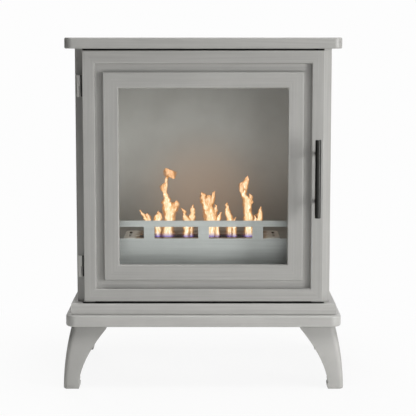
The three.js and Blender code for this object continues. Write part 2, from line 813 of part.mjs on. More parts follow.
const wool = slab(rounded(
  boxWidth - 2 * (sheet + woolPlay), boxDepth - 2 * (sheet + woolPlay), boxCornerRadius - sheet),
woolHeight, woolEdge, 1, 1);
piece(burner, "burner_wool", wool, "wool",
  burnerShift, coverMiddle, boxRimTop - boxHeight + sheet + seat);

const coverOuter = slab(rounded(coverWidth, coverDepth, coverRadius), coverHeight, 0, 1, 2);
const coverShoulder = slab(
  rounded(coverWidth, coverDepth, coverRadius), coverHeight + coverEdge, coverEdge, 1, 2);
const coverHollow = slab(rounded(
  coverWidth - 2 * sheet, coverDepth - 2 * sheet, coverRadius - sheet), coverHeight, 0, 1, 2);
const flameOpening = slab(rounded(flameWidth, flameDepth, flameRadius), 2 * coverHeight, 0, 1, 1)
  .translate(0, flameFront + flameDepth / 2 - coverMiddle, 0);
const slotWidth = shutterPinDiameter + 2 * slotPlay;
const slotLength = shutterTravel + slotWidth;
const guideSlots = [-1, 1].map((side) => (
  slab(slot(slotWidth, slotLength), 2 * coverHeight, 0, 1, 2).translate(
    (side * slotSpacing) / 2, pinY - shutterTravel / 2 - coverMiddle, 0)));
const burnerCover = cut(
  toGeometry(toSolid(coverOuter).intersect(toSolid(coverShoulder.translate(0, 0, -coverEdge)))),
  coverHollow.translate(0, 0, -sheet), flameOpening, ...guideSlots);
piece(burner, "burner_top_plate", burnerCover, "stainless", burnerShift, coverMiddle, burnerBottom);

// ---------------------------------------------------------------- flame shutter

const shutterPlate = slab(rounded(shutterWidth, shutterDepth, shutterRadius), sheet, 0, 1, 1);
const lipHeight = shutterTop - sheet - boxRimTop - seat;
const shutterLips = [-1, 1].map((side) => (
  block(sheet, shutterDepth - 2 * shutterRadius, lipHeight + sheet / 2).translate(
    side * (shutterWidth / 2 - sheet / 2), 0, -lipHeight)));
piece(shutter, "shutter_plate", join(shutterPlate, ...shutterLips), "stainless",
  burnerShift, shutterFront + shutterDepth / 2, shutterTop - sheet);

const pinReach = coverTop - shutterTop;
[["left", -1], ["right", 1]].forEach(([hand, side]) => {
  const pin = screwGeometry(shutterPinDiameter, pinReach, pinHeadDiameter, pinHeadHeight);
  piece(shutter, `shutter_pin_${hand}`, pin, "screw",
    burnerShift + (side * slotSpacing) / 2, pinY, shutterTop + seat);
});

// ---------------------------------------------------------------- door

// Depths are measured back from the door's face, so the door's pieces hang on this plane.
door.position.set(0, doorFront, doorMiddle);

const postLevels = [["upper", postSpacing / 2], ["lower", -postSpacing / 2]];
const handleHole = handleScrewDiameter + 2 * seat;
const outerFrame = mitredFrame(doorWidth, doorHeight, outerStile, outerRail,
  memberSection(outerStile, 0, doorDepth, channelDepth - seat));
const frameHoles = postLevels.map(([, z]) => (
  toBack(cylinder(handleHole, 4 * sheet, holeSides)).translate(handleX, -2 * sheet, z)));
piece(door, "door_outer_frame", cut(outerFrame, ...frameHoles), "paint");

const panelWidth = doorWidth - 2 * (sheet + seat);
const panelHeight = doorHeight - 2 * (sheet + seat);
const panel = rectangle(panelWidth, panelHeight);
const openWidth = windowWidth + 2 * windowReveal;
const openHeight = windowTall + 2 * windowReveal;
panel.holes.push(new THREE.Path(rectangle(openWidth, openHeight).getPoints()));
const retainerScrewX = retainerWidth / 2 - retainerFoot / 2;
const retainerScrewZ = retainerHeight / 2 - retainerScrewInset;
const retainerCorners = [[-1, 1], [1, 1], [-1, -1], [1, -1]];
const retainerHole = retainerScrewDiameter + 2 * seat;
const retainerHoles = () => retainerCorners.map(([sx, sz]) => (
  toBack(cylinder(retainerHole, 4 * sheet, screwSides)).translate(
    sx * retainerScrewX, panelBack - 2 * sheet, sz * retainerScrewZ)));
const channelPanel = cut(upright(panel, sheet).translate(0, channelDepth, 0), ...retainerHoles());
piece(door, "door_channel_panel", channelPanel, "paint");

piece(door, "door_inner_frame", mitredFrame(innerWidth, innerHeight, innerStile, innerRail,
  memberSection(innerStile, innerSetback, channelDepth - seat, channelDepth - seat)), "paint");

const gasketSection = [
  [0, gasketFront],
  [gasketWidth, gasketFront],
  [gasketWidth, gasketFront + gasketThickness],
  [0, gasketFront + gasketThickness],
];
piece(door, "glass_gasket",
  mitredFrame(glassWidth, glassHeight, 1, 1, gasketSection), "gasket");

const glass = upright(rectangle(glassWidth, glassHeight), glassThickness, glassEdge);
piece(door, "door_glass", glass, "glass", 0, glassFront, 0);

const lipFront = glassBack + seat;
const footFront = panelBack + seat;
const webInner = retainerFoot + sheet;
const retainerSection = [
  [0, footFront],
  [webInner, footFront],
  [webInner, lipFront],
  [retainerRim + retainerGrip, lipFront],
  [retainerRim + retainerGrip, lipFront + sheet],
  [retainerFoot, lipFront + sheet],
  [retainerFoot, footFront + sheet],
  [0, footFront + sheet],
];
const retainer = mitredFrame(retainerWidth, retainerHeight, 1, 1, retainerSection);
piece(door, "glass_retainer", cut(retainer, ...retainerHoles()), "screw");

const retainerScrewReach = 2 * sheet + retainerScrewPast;
retainerCorners.forEach(([sx, sz], i) => {
  const screw = toBack(screwGeometry(retainerScrewDiameter, retainerScrewReach));
  piece(door, `retainer_screw_${i + 1}`, screw, "screw", sx * retainerScrewX,
    footFront + sheet + seat - retainerScrewReach, sz * retainerScrewZ);
});

// Handle: a bar on two posts, each held by a screw from inside the stile.
const barRadius = barDiameter / 2;
const barProfile = [
  [0, 0],
  [barRadius - barChamfer, 0],
  [barRadius, barChamfer],
  [barRadius, handleLength - barChamfer],
  [barRadius - barChamfer, handleLength],
  [0, handleLength],
];
const socketFloor = -barRadius + postSocket; // from the bar's axis, towards the door
const sockets = postLevels.map(([, z]) => (
  toBack(cylinder(postDiameter + 2 * seat, 2 * barRadius)).translate(
    0, -socketFloor, z + handleLength / 2)));
piece(door, "handle_bar", cut(turned(barProfile, barSides), ...sockets), "handle",
  handleX, -handleReach, -handleLength / 2);

const postLength = handleReach + socketFloor - 2 * seat;
for (const [level, z] of postLevels) {
  const bore = toBack(cylinder(handleHole, handleScrewReach + 2 * handleBoreEnd, holeSides));
  const post = cut(
    toBack(cylinder(postDiameter, postLength, barrelSides)),
    bore.translate(0, postLength - handleScrewReach - handleBoreEnd, 0));
  piece(door, `handle_post_${level}`, post, "handle", handleX, -seat - postLength, z);
  const screwReach = handleScrewReach + sheet;
  const screw = toBack(screwGeometry(handleScrewDiameter, screwReach));
  piece(door, `handle_screw_${level}`, screw, "screw", handleX, sheet + seat - screwReach, z);
}

// ---------------------------------------------------------------- magnet catch

const magnet = block(magnetWidth, magnetDepth, magnetHeight);
piece(cabinet, "magnet_catch", magnet, "magnet",
  magnetX, doorBack + seat + magnetDepth / 2, doorMiddle - magnetHeight / 2);
const strikeWidth = outerStile - 2 * (sheet + seat);
const strike = block(strikeWidth, strikeThickness, strikeHeight);
piece(door, "strike_plate", strike, "stainless",
  doorWidth / 2 - outerStile / 2, doorDepth - strikeThickness / 2, -strikeHeight / 2);

// ---------------------------------------------------------------- hinges

// Each hinge has a lower knuckle on the casing, an upper knuckle on the door, and a pin.
const knuckleHeight = (hingeHeight - seat) / 2;
const pinBore = () => cylinder(hingePinDiameter + 2 * seat, 3 * knuckleHeight).translate(
  0, 0, -knuckleHeight);

function cabinetLeaf() {
  const leafBack = bodyFront - seat - hingeY;
  const leaf = block(cabinetLeafWidth, leafThickness, knuckleHeight).translate(
    cabinetLeafWidth / 2, leafBack - leafThickness / 2, 0);
  return cut(join(cylinder(barrelDiameter, knuckleHeight, barrelSides), leaf), pinBore());
}

function doorLeaf() {
  const padFar = hingeOut - seat; // pad's face against the door's edge
  const padDepth = doorDepth - 2 * doorLeafMargin;
  const pad = block(leafThickness, padDepth, knuckleHeight).translate(
    padFar - leafThickness / 2, doorLeafMargin + padDepth / 2 - hingeBack, 0);
  const web = block(padFar - leafThickness / 2, leafThickness, knuckleHeight).translate(
    (padFar - leafThickness / 2) / 2, -barrelDiameter / 2 + leafThickness / 2, 0);
  return cut(join(cylinder(barrelDiameter, knuckleHeight, barrelSides), web, pad), pinBore());
}

const hingeLevels = [
  ["upper", doorBottom + doorHeight - hingeEnd - hingeHeight],
  ["lower", doorBottom + hingeEnd],
];
for (const [level, z] of hingeLevels) {
  piece(cabinet, `hinge_${level}_cabinet_leaf`, cabinetLeaf(), "paint", hingeX, hingeY, z);
  piece(cabinet, `hinge_${level}_pin`, cylinder(hingePinDiameter, hingeHeight), "screw",
    hingeX, hingeY, z);
  const upperHalf = z + knuckleHeight + seat - doorMiddle;
  piece(door, `hinge_${level}_door_leaf`, doorLeaf(), "paint",
    hingeX, hingeY - doorFront, upperHalf);
}

// ---------------------------------------------------------------- the whole

// The outline runs from the handle's front to the rear feet; its middle comes over the origin.
const outlineFront = doorFront - handleReach - barRadius;
fireplace.position.y = -(outlineFront + footY) / 2;

export default fireplace;
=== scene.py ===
import math

import bpy
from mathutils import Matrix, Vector


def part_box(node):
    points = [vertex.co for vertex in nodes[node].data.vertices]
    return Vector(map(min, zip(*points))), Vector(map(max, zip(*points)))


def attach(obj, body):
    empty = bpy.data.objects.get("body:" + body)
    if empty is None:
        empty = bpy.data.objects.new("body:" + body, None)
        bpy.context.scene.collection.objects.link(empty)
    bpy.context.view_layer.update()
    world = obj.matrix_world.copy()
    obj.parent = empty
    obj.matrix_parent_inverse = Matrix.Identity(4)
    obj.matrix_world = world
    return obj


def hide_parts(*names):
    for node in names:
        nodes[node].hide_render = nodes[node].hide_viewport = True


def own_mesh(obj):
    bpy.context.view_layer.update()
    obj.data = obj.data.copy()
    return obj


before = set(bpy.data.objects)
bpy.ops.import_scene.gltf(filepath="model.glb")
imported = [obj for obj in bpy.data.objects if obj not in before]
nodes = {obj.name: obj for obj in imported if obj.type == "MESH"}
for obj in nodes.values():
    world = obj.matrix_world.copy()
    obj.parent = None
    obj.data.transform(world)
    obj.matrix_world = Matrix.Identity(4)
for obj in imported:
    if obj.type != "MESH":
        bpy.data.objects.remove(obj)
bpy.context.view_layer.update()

bpy.ops.object.select_all(action="DESELECT")


# ---- Legs -------------------------------------------------------------------------
# Four sabre legs, sand-cast in iron with a solid sole and a small toe lip, then fettled
# and sprayed with the casing's paint. A hexagon bolt holds each one up into the plinth.

leg_paint_colour = "#acaba8"
cast_lumps = 1 / 0.0045  # the moulding sand's lumps, drawn 4.5 mm apart so that they show
cast_tone_patches = 1 / 0.030
top_shade_from, top_shade_to = 0.088, 0.126  # levels between which painted shade darkens a leg's top, up under the plate
plating_clouds = 1 / 0.003
dark_zinc_colour = "#6b6964"
light_zinc_colour = "#8d8b85"
weld_distance = 0.000002
smooth_angle = math.radians(35)  # bends sharper than this stay edges


def linear(hex_colour):
    """The linear colour that a shader takes, from an sRGB hex value."""
    shares = [int(hex_colour[i:i + 2], 16) / 255 for i in (1, 3, 5)]
    return (*[c / 12.92 if c <= 0.04045 else ((c + 0.055) / 1.055) ** 2.4 for c in shares], 1)


def add_node(material, kind, inputs=None, **settings):
    """Adds a node with its settings. Inputs are plain values, or the sockets that feed them.

    An input goes by its name, or by its number where several share a name."""
    node = material.node_tree.nodes.new(kind)
    for name, value in settings.items():
        setattr(node, name, value)
    for key, value in (inputs or {}).items():
        if isinstance(value, bpy.types.NodeSocket):
            material.node_tree.links.new(value, node.inputs[key])
        else:
            node.inputs[key].default_value = value
    return node


def new_material(name):
    material = bpy.data.materials.new(name)
    material.use_nodes = True
    material.node_tree.nodes.clear()
    return material


def dress(material, *names):
    """Gives CAD nodes their finish."""
    for name in names:
        nodes[name].material_slots[0].material = material


def smooth_copy(name, suffix, body, material, flat_faces=True):
    """A piece with a CAD node's faces joined up and shaded smooth, which stands for the node.

    Flat faces stay flat, so that the light gathers in the bends and edges between them."""
    mesh = nodes[name].data.copy()
    piece = bpy.data.objects.new(f"{name}_{suffix}", mesh)
    bpy.context.scene.collection.objects.link(piece)
    mesh.materials.clear()
    mesh.materials.append(material)
    bpy.ops.object.select_all(action="DESELECT")
    bpy.context.view_layer.objects.active = piece
    piece.select_set(True)
    bpy.ops.object.mode_set(mode="EDIT")
    bpy.ops.mesh.select_all(action="SELECT")
    bpy.ops.mesh.customdata_custom_splitnormals_clear()
    bpy.ops.mesh.remove_doubles(threshold=weld_distance)
    bpy.ops.object.mode_set(mode="OBJECT")
    bpy.ops.object.shade_smooth_by_angle(angle=smooth_angle)
    if flat_faces:
        weighing = piece.modifiers.new("flat_faces", "WEIGHTED_NORMAL")
        weighing.weight = 100  # the largest face alone sets the normal
        weighing.keep_sharp = True
        bpy.ops.object.modifier_apply(modifier="flat_faces")
    piece.select_set(False)
    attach(piece, body)
    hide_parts(name)


# Satin paint over cast iron: the sand's lumps soften the highlight and mottle the tone, and
# the leg's top darkens up under the plate, which is painted shade for the plate's shadow.
cast_paint = new_material("satin_paint_on_cast_iron")
place = add_node(cast_paint, "ShaderNodeTexCoord").outputs["Object"]
lumps = add_node(cast_paint, "ShaderNodeTexNoise", {
    "Vector": place, "Scale": cast_lumps, "Detail": 3.0, "Roughness": 0.55})
patches = add_node(cast_paint, "ShaderNodeTexNoise", {
    "Vector": place, "Scale": cast_tone_patches, "Detail": 3.0})
mottled = add_node(cast_paint, "ShaderNodeMapRange", {
    "Value": patches.outputs["Fac"], "From Min": 0.3, "From Max": 0.7,
    "To Min": 0.97, "To Max": 1.03})
level = add_node(cast_paint, "ShaderNodeSeparateXYZ", {0: place}).outputs["Z"]
top_shade = add_node(cast_paint, "ShaderNodeMapRange", {
    "Value": level, "From Min": top_shade_from, "From Max": top_shade_to, "To Min": 1.0, "To Max": 0.78})
tone = add_node(cast_paint, "ShaderNodeMath", {
    0: mottled.outputs["Result"], 1: top_shade.outputs["Result"]}, operation="MULTIPLY")
colour = add_node(cast_paint, "ShaderNodeHueSaturation", {
    "Color": linear(leg_paint_colour), "Value": tone.outputs[0]})
gloss = add_node(cast_paint, "ShaderNodeMapRange", {
    "Value": lumps.outputs["Fac"], "To Min": 0.44, "To Max": 0.58})
skin = add_node(cast_paint, "ShaderNodeBump", {
    "Height": lumps.outputs["Fac"], "Strength": 0.22, "Distance": 0.0004})
shader = add_node(cast_paint, "ShaderNodeBsdfPrincipled", {
    "Base Color": colour.outputs["Color"], "Roughness": gloss.outputs["Result"],
    "Normal": skin.outputs["Normal"]})
add_node(cast_paint, "ShaderNodeOutputMaterial", {"Surface": shader.outputs["BSDF"]})

# Zinc-plated steel, darkened by heat and handling: a dull grey metal with cloudy plating.
fastener_steel = new_material("dulled_zinc_plated_steel")
place = add_node(fastener_steel, "ShaderNodeTexCoord").outputs["Object"]
clouds = add_node(fastener_steel, "ShaderNodeTexNoise", {
    "Vector": place, "Scale": plating_clouds, "Detail": 2.0})
colour = add_node(fastener_steel, "ShaderNodeMix", {
    0: clouds.outputs["Fac"], 6: linear(dark_zinc_colour), 7: linear(light_zinc_colour)},
    data_type="RGBA")
gloss = add_node(fastener_steel, "ShaderNodeMapRange", {
    "Value": clouds.outputs["Fac"], "To Min": 0.32, "To Max": 0.52})
shader = add_node(fastener_steel, "ShaderNodeBsdfPrincipled", {
    "Base Color": colour.outputs[2], "Roughness": gloss.outputs["Result"], "Metallic": 1.0})
add_node(fastener_steel, "ShaderNodeOutputMaterial", {"Surface": shader.outputs["BSDF"]})

for corner in ("front_left", "front_right", "rear_right", "rear_left"):
    smooth_copy(f"leg_{corner}", "cast", "cabinet", cast_paint, flat_faces=False)
    dress(fastener_steel, f"leg_bolt_{corner}")


# ---- Plinth -----------------------------------------------------------------------
# Two folded trays in 2 mm steel, one on the other: a square step that carries the casing
# and a wider plate with rounded corners under it, sprayed after welding.

sheet_paint_colour = "#a5a4a1"
# The plinth's paint is drawn paler than the casing's: painted light for the brighter light low
# down.
plinth_pale_paint_colour = "#b3b2af"
grain_across = 1 / 0.0034  # rolling grain, drawn 3.4 mm apart where it's really under 1 mm
grain_along = 1 / 0.220
grain_range = {"From Min": 0.25, "From Max": 0.75}  # the span that the grain's noise fills
paint_streak = 0.085
spray_texture = 1 / 0.0030  # orange peel, drawn at twice its real spacing so that it shows
tone_patches = 1 / 0.045
shade_darkening = -0.9
shade_margin = 0.004  # how far the painted shade under the door spreads past it
step_lip = 0.0055  # the unshaded strip along the step's front edge
shade_depth = 0.0006


def grain_noise(material, place, facing, direction):
    """Long thin streaks in the sheet, level or upright, that stay in line on every face."""
    xyz = add_node(material, "ShaderNodeSeparateXYZ", {0: place}).outputs
    normal = add_node(material, "ShaderNodeSeparateXYZ", {0: facing}).outputs
    turned = "Z" if direction == "level" else "X"
    flat = add_node(material, "ShaderNodeMath", {0: normal[turned]}, operation="ABSOLUTE")
    across = add_node(material, "ShaderNodeMix", {
        0: flat.outputs[0], 2: xyz[turned], 3: xyz["Y"]}, data_type="FLOAT")
    if direction == "level":
        lined_up = add_node(material, "ShaderNodeCombineXYZ", {
            "X": xyz["X"], "Y": xyz["Y"], "Z": across.outputs[0]})
        stretch = (grain_along, grain_along, grain_across)
    else:
        lined_up = add_node(material, "ShaderNodeCombineXYZ", {
            "X": across.outputs[0], "Z": xyz["Z"]})
        stretch = (grain_across, 0, grain_along)
    scaled = add_node(material, "ShaderNodeVectorMath", {
        0: lined_up.outputs[0], 1: stretch}, operation="MULTIPLY")
    noise = add_node(material, "ShaderNodeTexNoise", {
        "Vector": scaled.outputs[0], "Scale": 1.0, "Detail": 2.0})
    return noise.outputs["Fac"]


def sheet_paint(name, colour_hex, direction, rough=(0.32, 0.46), shade_box=None, mitre=None):
    """Satin paint sprayed on rolled sheet: the sheet's grain telegraphs as faint streaks.

    Shade box, where given, is the low and high corner of a gap that is darkened as painted shade.
    Mitre, where given, is the level of a frame's middle, and half of how much taller than
    wide the frame is: the grain then runs along each member and turns at the corners."""
    material = new_material(name)
    coordinates = add_node(material, "ShaderNodeTexCoord").outputs
    place, facing = coordinates["Object"], coordinates["Normal"]
    xyz = add_node(material, "ShaderNodeSeparateXYZ", {0: place}).outputs
    if mitre:
        rise = add_node(material, "ShaderNodeMath", {0: xyz["Z"], 1: mitre[0]},
                        operation="SUBTRACT")
        rise = add_node(material, "ShaderNodeMath", {0: rise.outputs[0]}, operation="ABSOLUTE")
        side = add_node(material, "ShaderNodeMath", {0: xyz["X"]}, operation="ABSOLUTE")
        past = add_node(material, "ShaderNodeMath", {
            0: rise.outputs[0], 1: side.outputs[0]}, operation="SUBTRACT")
        rail = add_node(material, "ShaderNodeMath", {
            0: past.outputs[0], 1: mitre[1]}, operation="GREATER_THAN")
        grain = add_node(material, "ShaderNodeMix", {
            0: rail.outputs[0],
            2: grain_noise(material, place, facing, "upright"),
            3: grain_noise(material, place, facing, "level")}, data_type="FLOAT").outputs[0]
    else:
        grain = grain_noise(material, place, facing, direction)
    patches = add_node(material, "ShaderNodeTexNoise", {
        "Vector": place, "Scale": tone_patches, "Detail": 4.0, "Roughness": 0.6})
    peel = add_node(material, "ShaderNodeTexNoise", {"Vector": place, "Scale": spray_texture})
    lines = add_node(material, "ShaderNodeMapRange", {
        "Value": grain, **grain_range, "To Min": 1 - paint_streak, "To Max": 1 + paint_streak})
    cloud = add_node(material, "ShaderNodeMapRange", {
        "Value": patches.outputs["Fac"], "From Min": 0.3, "From Max": 0.7,
        "To Min": 0.975, "To Max": 1.025})
    tone = add_node(material, "ShaderNodeMath", {
        0: lines.outputs["Result"], 1: cloud.outputs["Result"]}, operation="MULTIPLY")
    if shade_box:
        reach = None
        for axis, low, high in zip("XYZ", *shade_box):
            inside = add_node(material, "ShaderNodeMath", {
                0: xyz[axis], 1: (low + high) / 2, 2: (high - low) / 2}, operation="COMPARE")
            reach = inside if reach is None else add_node(material, "ShaderNodeMath", {
                0: reach.outputs[0], 1: inside.outputs[0]}, operation="MULTIPLY")
        tone = add_node(material, "ShaderNodeMath", {
            0: reach.outputs[0], 1: shade_darkening, 2: tone.outputs[0]},
            operation="MULTIPLY_ADD")
    colour = add_node(material, "ShaderNodeHueSaturation", {
        "Color": linear(colour_hex), "Value": tone.outputs[0]})
    gloss = add_node(material, "ShaderNodeMapRange", {
        "Value": grain, **grain_range, "To Min": rough[0], "To Max": rough[1]})
    height = add_node(material, "ShaderNodeMath", {
        0: grain, 1: peel.outputs["Fac"]}, operation="ADD")
    skin = add_node(material, "ShaderNodeBump", {
        "Height": height.outputs[0], "Strength": 0.12, "Distance": 0.0002})
    shader = add_node(material, "ShaderNodeBsdfPrincipled", {
        "Base Color": colour.outputs["Color"], "Roughness": gloss.outputs["Result"],
        "Normal": skin.outputs["Normal"]})
    if shade_box:  # painted shade takes no gloss
        shine = add_node(material, "ShaderNodeMapRange", {
            "Value": reach.outputs[0], "To Min": 0.5, "To Max": 0.0})
        material.node_tree.links.new(
            shine.outputs["Result"], shader.inputs["Specular IOR Level"])
    add_node(material, "ShaderNodeOutputMaterial", {"Surface": shader.outputs["BSDF"]})
    return material


plate_paint = sheet_paint("satin_paint_on_plinth_plate", plinth_pale_paint_colour, "level")
smooth_copy("plinth_plate", "folded", "cabinet", plate_paint)

step_low, step_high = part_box("plinth_step")
door_low, door_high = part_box("door_outer_frame")
# The step's top is darkened under the door: painted shade in the gap.
step_paint = sheet_paint(
    "satin_paint_on_plinth_step", plinth_pale_paint_colour, "level",
    shade_box=((door_low.x - shade_margin, step_low.y + step_lip, step_high.z - shade_depth),
          (door_high.x + shade_margin, door_high.y + shade_margin, step_high.z + shade_depth)))
smooth_copy("plinth_step", "folded", "cabinet", step_paint)


# ---- Casing -----------------------------------------------------------------------
# Side sheets folded round a canted front corner, closed by a pan above and below, two
# rails behind the door and a slotted back panel held by four pan-head screws.

gap_lap, gap_reach = 0.0008, 0.006  # how far painted shade lies behind the door's edge, and past it
above_door = (door_high.z - gap_lap, door_high.z + gap_reach)
below_door = (door_low.z - gap_reach, door_low.z + gap_lap)

level_paint = sheet_paint("satin_paint_on_sheet_level_grain", sheet_paint_colour, "level")
upright_paint = sheet_paint("satin_paint_on_sheet_upright_grain", sheet_paint_colour, "upright")
# The side panels and rails are darkened in the gaps above and below the door: painted shade.
side_paint = sheet_paint(
    "satin_paint_on_side_panels", sheet_paint_colour, "upright",
    shade_box=((door_low.x, -1, above_door[0]), (door_high.x, 0, above_door[1])))
for hand in ("left", "right"):
    smooth_copy(f"side_panel_{hand}", "folded", "cabinet", side_paint)
for rail, (low, high) in (("top", above_door), ("bottom", below_door)):
    rail_paint = sheet_paint(
        f"satin_paint_on_{rail}_rail", sheet_paint_colour, "level",
        shade_box=((door_low.x, -1, low), (door_high.x, 1, high)))
    dress(rail_paint, f"front_rail_{rail}")
dress(level_paint, "cabinet_base_panel", "cabinet_top_panel")
dress(upright_paint, "rear_panel")
for number in range(1, 5):
    smooth_copy(f"rear_panel_screw_{number}", "turned", "cabinet", fastener_steel)


# ---- Top plate --------------------------------------------------------------------
# A folded tray in 2 mm steel with welded, linished corners, sprayed like the casing.
# It sits on the casing and overhangs it on all sides.

smooth_copy("top_plate", "folded", "cabinet", level_paint)


# ---- Fire chamber -----------------------------------------------------------------
# A liner of folded and flat sheet behind the door: two walls, a back, a ceiling, a floor
# and the shelf that the burner drops into, all in high-temperature paint.

chamber_colour = "#d9d9d8"
soot_and_low_dark_colour = "#a9a8a5"
flame_glow_colour = "#e0d2c7"
soot_patches = 1 / 0.090
dark_low_full, dark_low_clear = 0.300, 0.420  # levels between which the darkening towards the bottom clears
flame_glow_centre = (0, 0.1565, 0.365)  # on the back, behind the flames
flame_glow_heart, flame_glow_edge = 0.030, 0.165
paint_flakes = 1 / 0.0025  # drawn far coarser than the real flakes, so that they show

# Matt paint filled with aluminium flake, which gives it a little of a metal's shine. It is
# clouded by soot in patches, darker towards the bottom, and warmer behind the flames, which
# is painted glow of the flames' light.
chamber_paint = new_material("matt_high_temperature_paint")
place = add_node(chamber_paint, "ShaderNodeTexCoord").outputs["Object"]
haze = add_node(chamber_paint, "ShaderNodeTexNoise", {
    "Vector": place, "Scale": soot_patches, "Detail": 4.0, "Roughness": 0.55})
flakes = add_node(chamber_paint, "ShaderNodeTexNoise", {
    "Vector": place, "Scale": paint_flakes, "Detail": 2.0})
clouded = add_node(chamber_paint, "ShaderNodeMapRange", {
    "Value": haze.outputs["Fac"], "From Min": 0.35, "From Max": 0.75,
    "To Min": 0.0, "To Max": 0.35})
level = add_node(chamber_paint, "ShaderNodeSeparateXYZ", {0: place}).outputs["Z"]
# Darker towards the bottom.
low_down = add_node(chamber_paint, "ShaderNodeMapRange", {
    "Value": level, "From Min": dark_low_full, "From Max": dark_low_clear,
    "To Min": 0.65, "To Max": 0.0}, interpolation_type="SMOOTHSTEP")
soot_and_low_dark = add_node(chamber_paint, "ShaderNodeMath", {
    0: clouded.outputs["Result"], 1: low_down.outputs["Result"]},
    operation="ADD", use_clamp=True)
# Painted glow: the back turns warmer towards the flames.
away = add_node(chamber_paint, "ShaderNodeVectorMath", {
    0: place, 1: flame_glow_centre}, operation="DISTANCE")
flame_glow = add_node(chamber_paint, "ShaderNodeMapRange", {
    "Value": away.outputs["Value"], "From Min": flame_glow_heart, "From Max": flame_glow_edge,
    "To Min": 1.0, "To Max": 0.0}, interpolation_type="SMOOTHSTEP")
colour = add_node(chamber_paint, "ShaderNodeMix", {
    0: soot_and_low_dark.outputs[0], 6: linear(chamber_colour), 7: linear(soot_and_low_dark_colour)},
    data_type="RGBA")
colour = add_node(chamber_paint, "ShaderNodeMix", {
    0: flame_glow.outputs["Result"], 6: colour.outputs[2], 7: linear(flame_glow_colour)},
    data_type="RGBA")
skin = add_node(chamber_paint, "ShaderNodeBump", {
    "Height": flakes.outputs["Fac"], "Strength": 0.08, "Distance": 0.0001})
shader = add_node(chamber_paint, "ShaderNodeBsdfPrincipled", {
    "Base Color": colour.outputs[2], "Roughness": 0.5, "Normal": skin.outputs["Normal"],
    "Metallic": 0.4})
add_node(chamber_paint, "ShaderNodeOutputMaterial", {"Surface": shader.outputs["BSDF"]})
dress(chamber_paint, "firebox_wall_left", "firebox_wall_right", "firebox_back",
      "firebox_ceiling", "firebox_floor", "burner_shelf")


# ---- Flame guard ------------------------------------------------------------------
# An upright plate with a row of four windows under its top rail and a foot flange,
# cut and folded from stainless sheet. The factory grain runs along it.

guard_colour = "#cdcfcf"
steel_patches = 1 / 0.060


def brushed_stainless(name, colour_hex, metallic, tint=None):
    """Stainless sheet with its factory grain: a metal streaked along, which spreads gloss.

    Tint, where given, is the function that lays the heat's colours over the steel's own."""
    material = new_material(name)
    coordinates = add_node(material, "ShaderNodeTexCoord").outputs
    place, facing = coordinates["Object"], coordinates["Normal"]
    grain = grain_noise(material, place, facing, "level")
    patches = add_node(material, "ShaderNodeTexNoise", {
        "Vector": place, "Scale": steel_patches, "Detail": 3.0})
    lines = add_node(material, "ShaderNodeMapRange", {
        "Value": grain, **grain_range, "To Min": 0.93, "To Max": 1.07})
    cloud = add_node(material, "ShaderNodeMapRange", {
        "Value": patches.outputs["Fac"], "From Min": 0.3, "From Max": 0.7,
        "To Min": 0.96, "To Max": 1.04})
    tone = add_node(material, "ShaderNodeMath", {
        0: lines.outputs["Result"], 1: cloud.outputs["Result"]}, operation="MULTIPLY")
    colour = add_node(material, "ShaderNodeHueSaturation", {
        "Color": linear(colour_hex), "Value": tone.outputs[0]}).outputs["Color"]
    if tint:
        colour = tint(material, place, colour)
    gloss = add_node(material, "ShaderNodeMapRange", {
        "Value": grain, **grain_range, "To Min": 0.32, "To Max": 0.42})
    skin = add_node(material, "ShaderNodeBump", {
        "Height": grain, "Strength": 0.03, "Distance": 0.0001})
    shader = add_node(material, "ShaderNodeBsdfPrincipled", {
        "Base Color": colour, "Roughness": gloss.outputs["Result"],
        "Normal": skin.outputs["Normal"], "Metallic": metallic})
    add_node(material, "ShaderNodeOutputMaterial", {"Surface": shader.outputs["BSDF"]})
    return material


# Heat has dulled the guard with a thin film, so that it mirrors less than clean steel.
guard_steel = brushed_stainless("brushed_stainless_guard", guard_colour, metallic=0.4)
dress(guard_steel, "flame_guard")


# ---- Burner -----------------------------------------------------------------------
# A pressed stainless box with a rim, and a cover plate with the flame opening and two
# guide slots. Heat has tinted the cover brown round the flames. The cover's steel is drawn
# paler than the box's, painted light for the flames' glow, which leaves its ends bright.

burner_colour = "#bdbbb7"
# Paler than the box's steel: painted light from the flames.
flame_lit_cover_colour = "#efede8"
brown_tint = "#705d50"
blue_tint = "#6b6577"
straw_tint = "#9c8463"
tint_start, tint_end = 0.100, 0.155  # distances from the cover's middle
tint_wander = 0.030
tint_patches = 1 / 0.018

burner_steel = brushed_stainless("brushed_stainless_burner", burner_colour, metallic=1.0)
dress(burner_steel, "burner_box")

cover_low, cover_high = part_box("burner_top_plate")
cover_middle = (cover_low.x + cover_high.x) / 2


def heat_tint(material, place, colour):
    """Bands away from the flames that multiply the steel's colour: brown, blue, straw, bare."""
    xyz = add_node(material, "ShaderNodeSeparateXYZ", {0: place}).outputs
    side = add_node(material, "ShaderNodeMath", {0: xyz["X"], 1: cover_middle},
                    operation="SUBTRACT")
    side = add_node(material, "ShaderNodeMath", {0: side.outputs[0]}, operation="ABSOLUTE")
    wander = add_node(material, "ShaderNodeTexNoise", {
        "Vector": place, "Scale": tint_patches, "Detail": 3.0})
    reach = add_node(material, "ShaderNodeMath", {
        0: wander.outputs["Fac"], 1: tint_wander, 2: side.outputs[0]}, operation="MULTIPLY_ADD")
    share = add_node(material, "ShaderNodeMapRange", {
        "Value": reach.outputs[0], "From Min": tint_start, "From Max": tint_end})
    bands = add_node(material, "ShaderNodeValToRGB", {0: share.outputs["Result"]})
    stops = bands.color_ramp.elements  # the last of them is white, which leaves steel bare
    stops[0].position = 0.45
    stops[0].color = linear(brown_tint)
    stops.new(0.62).color = linear(blue_tint)
    stops.new(0.8).color = linear(straw_tint)
    return add_node(material, "ShaderNodeMix", {
        0: 1.0, 6: colour, 7: bands.outputs["Color"]},
        data_type="RGBA", blend_type="MULTIPLY").outputs[2]


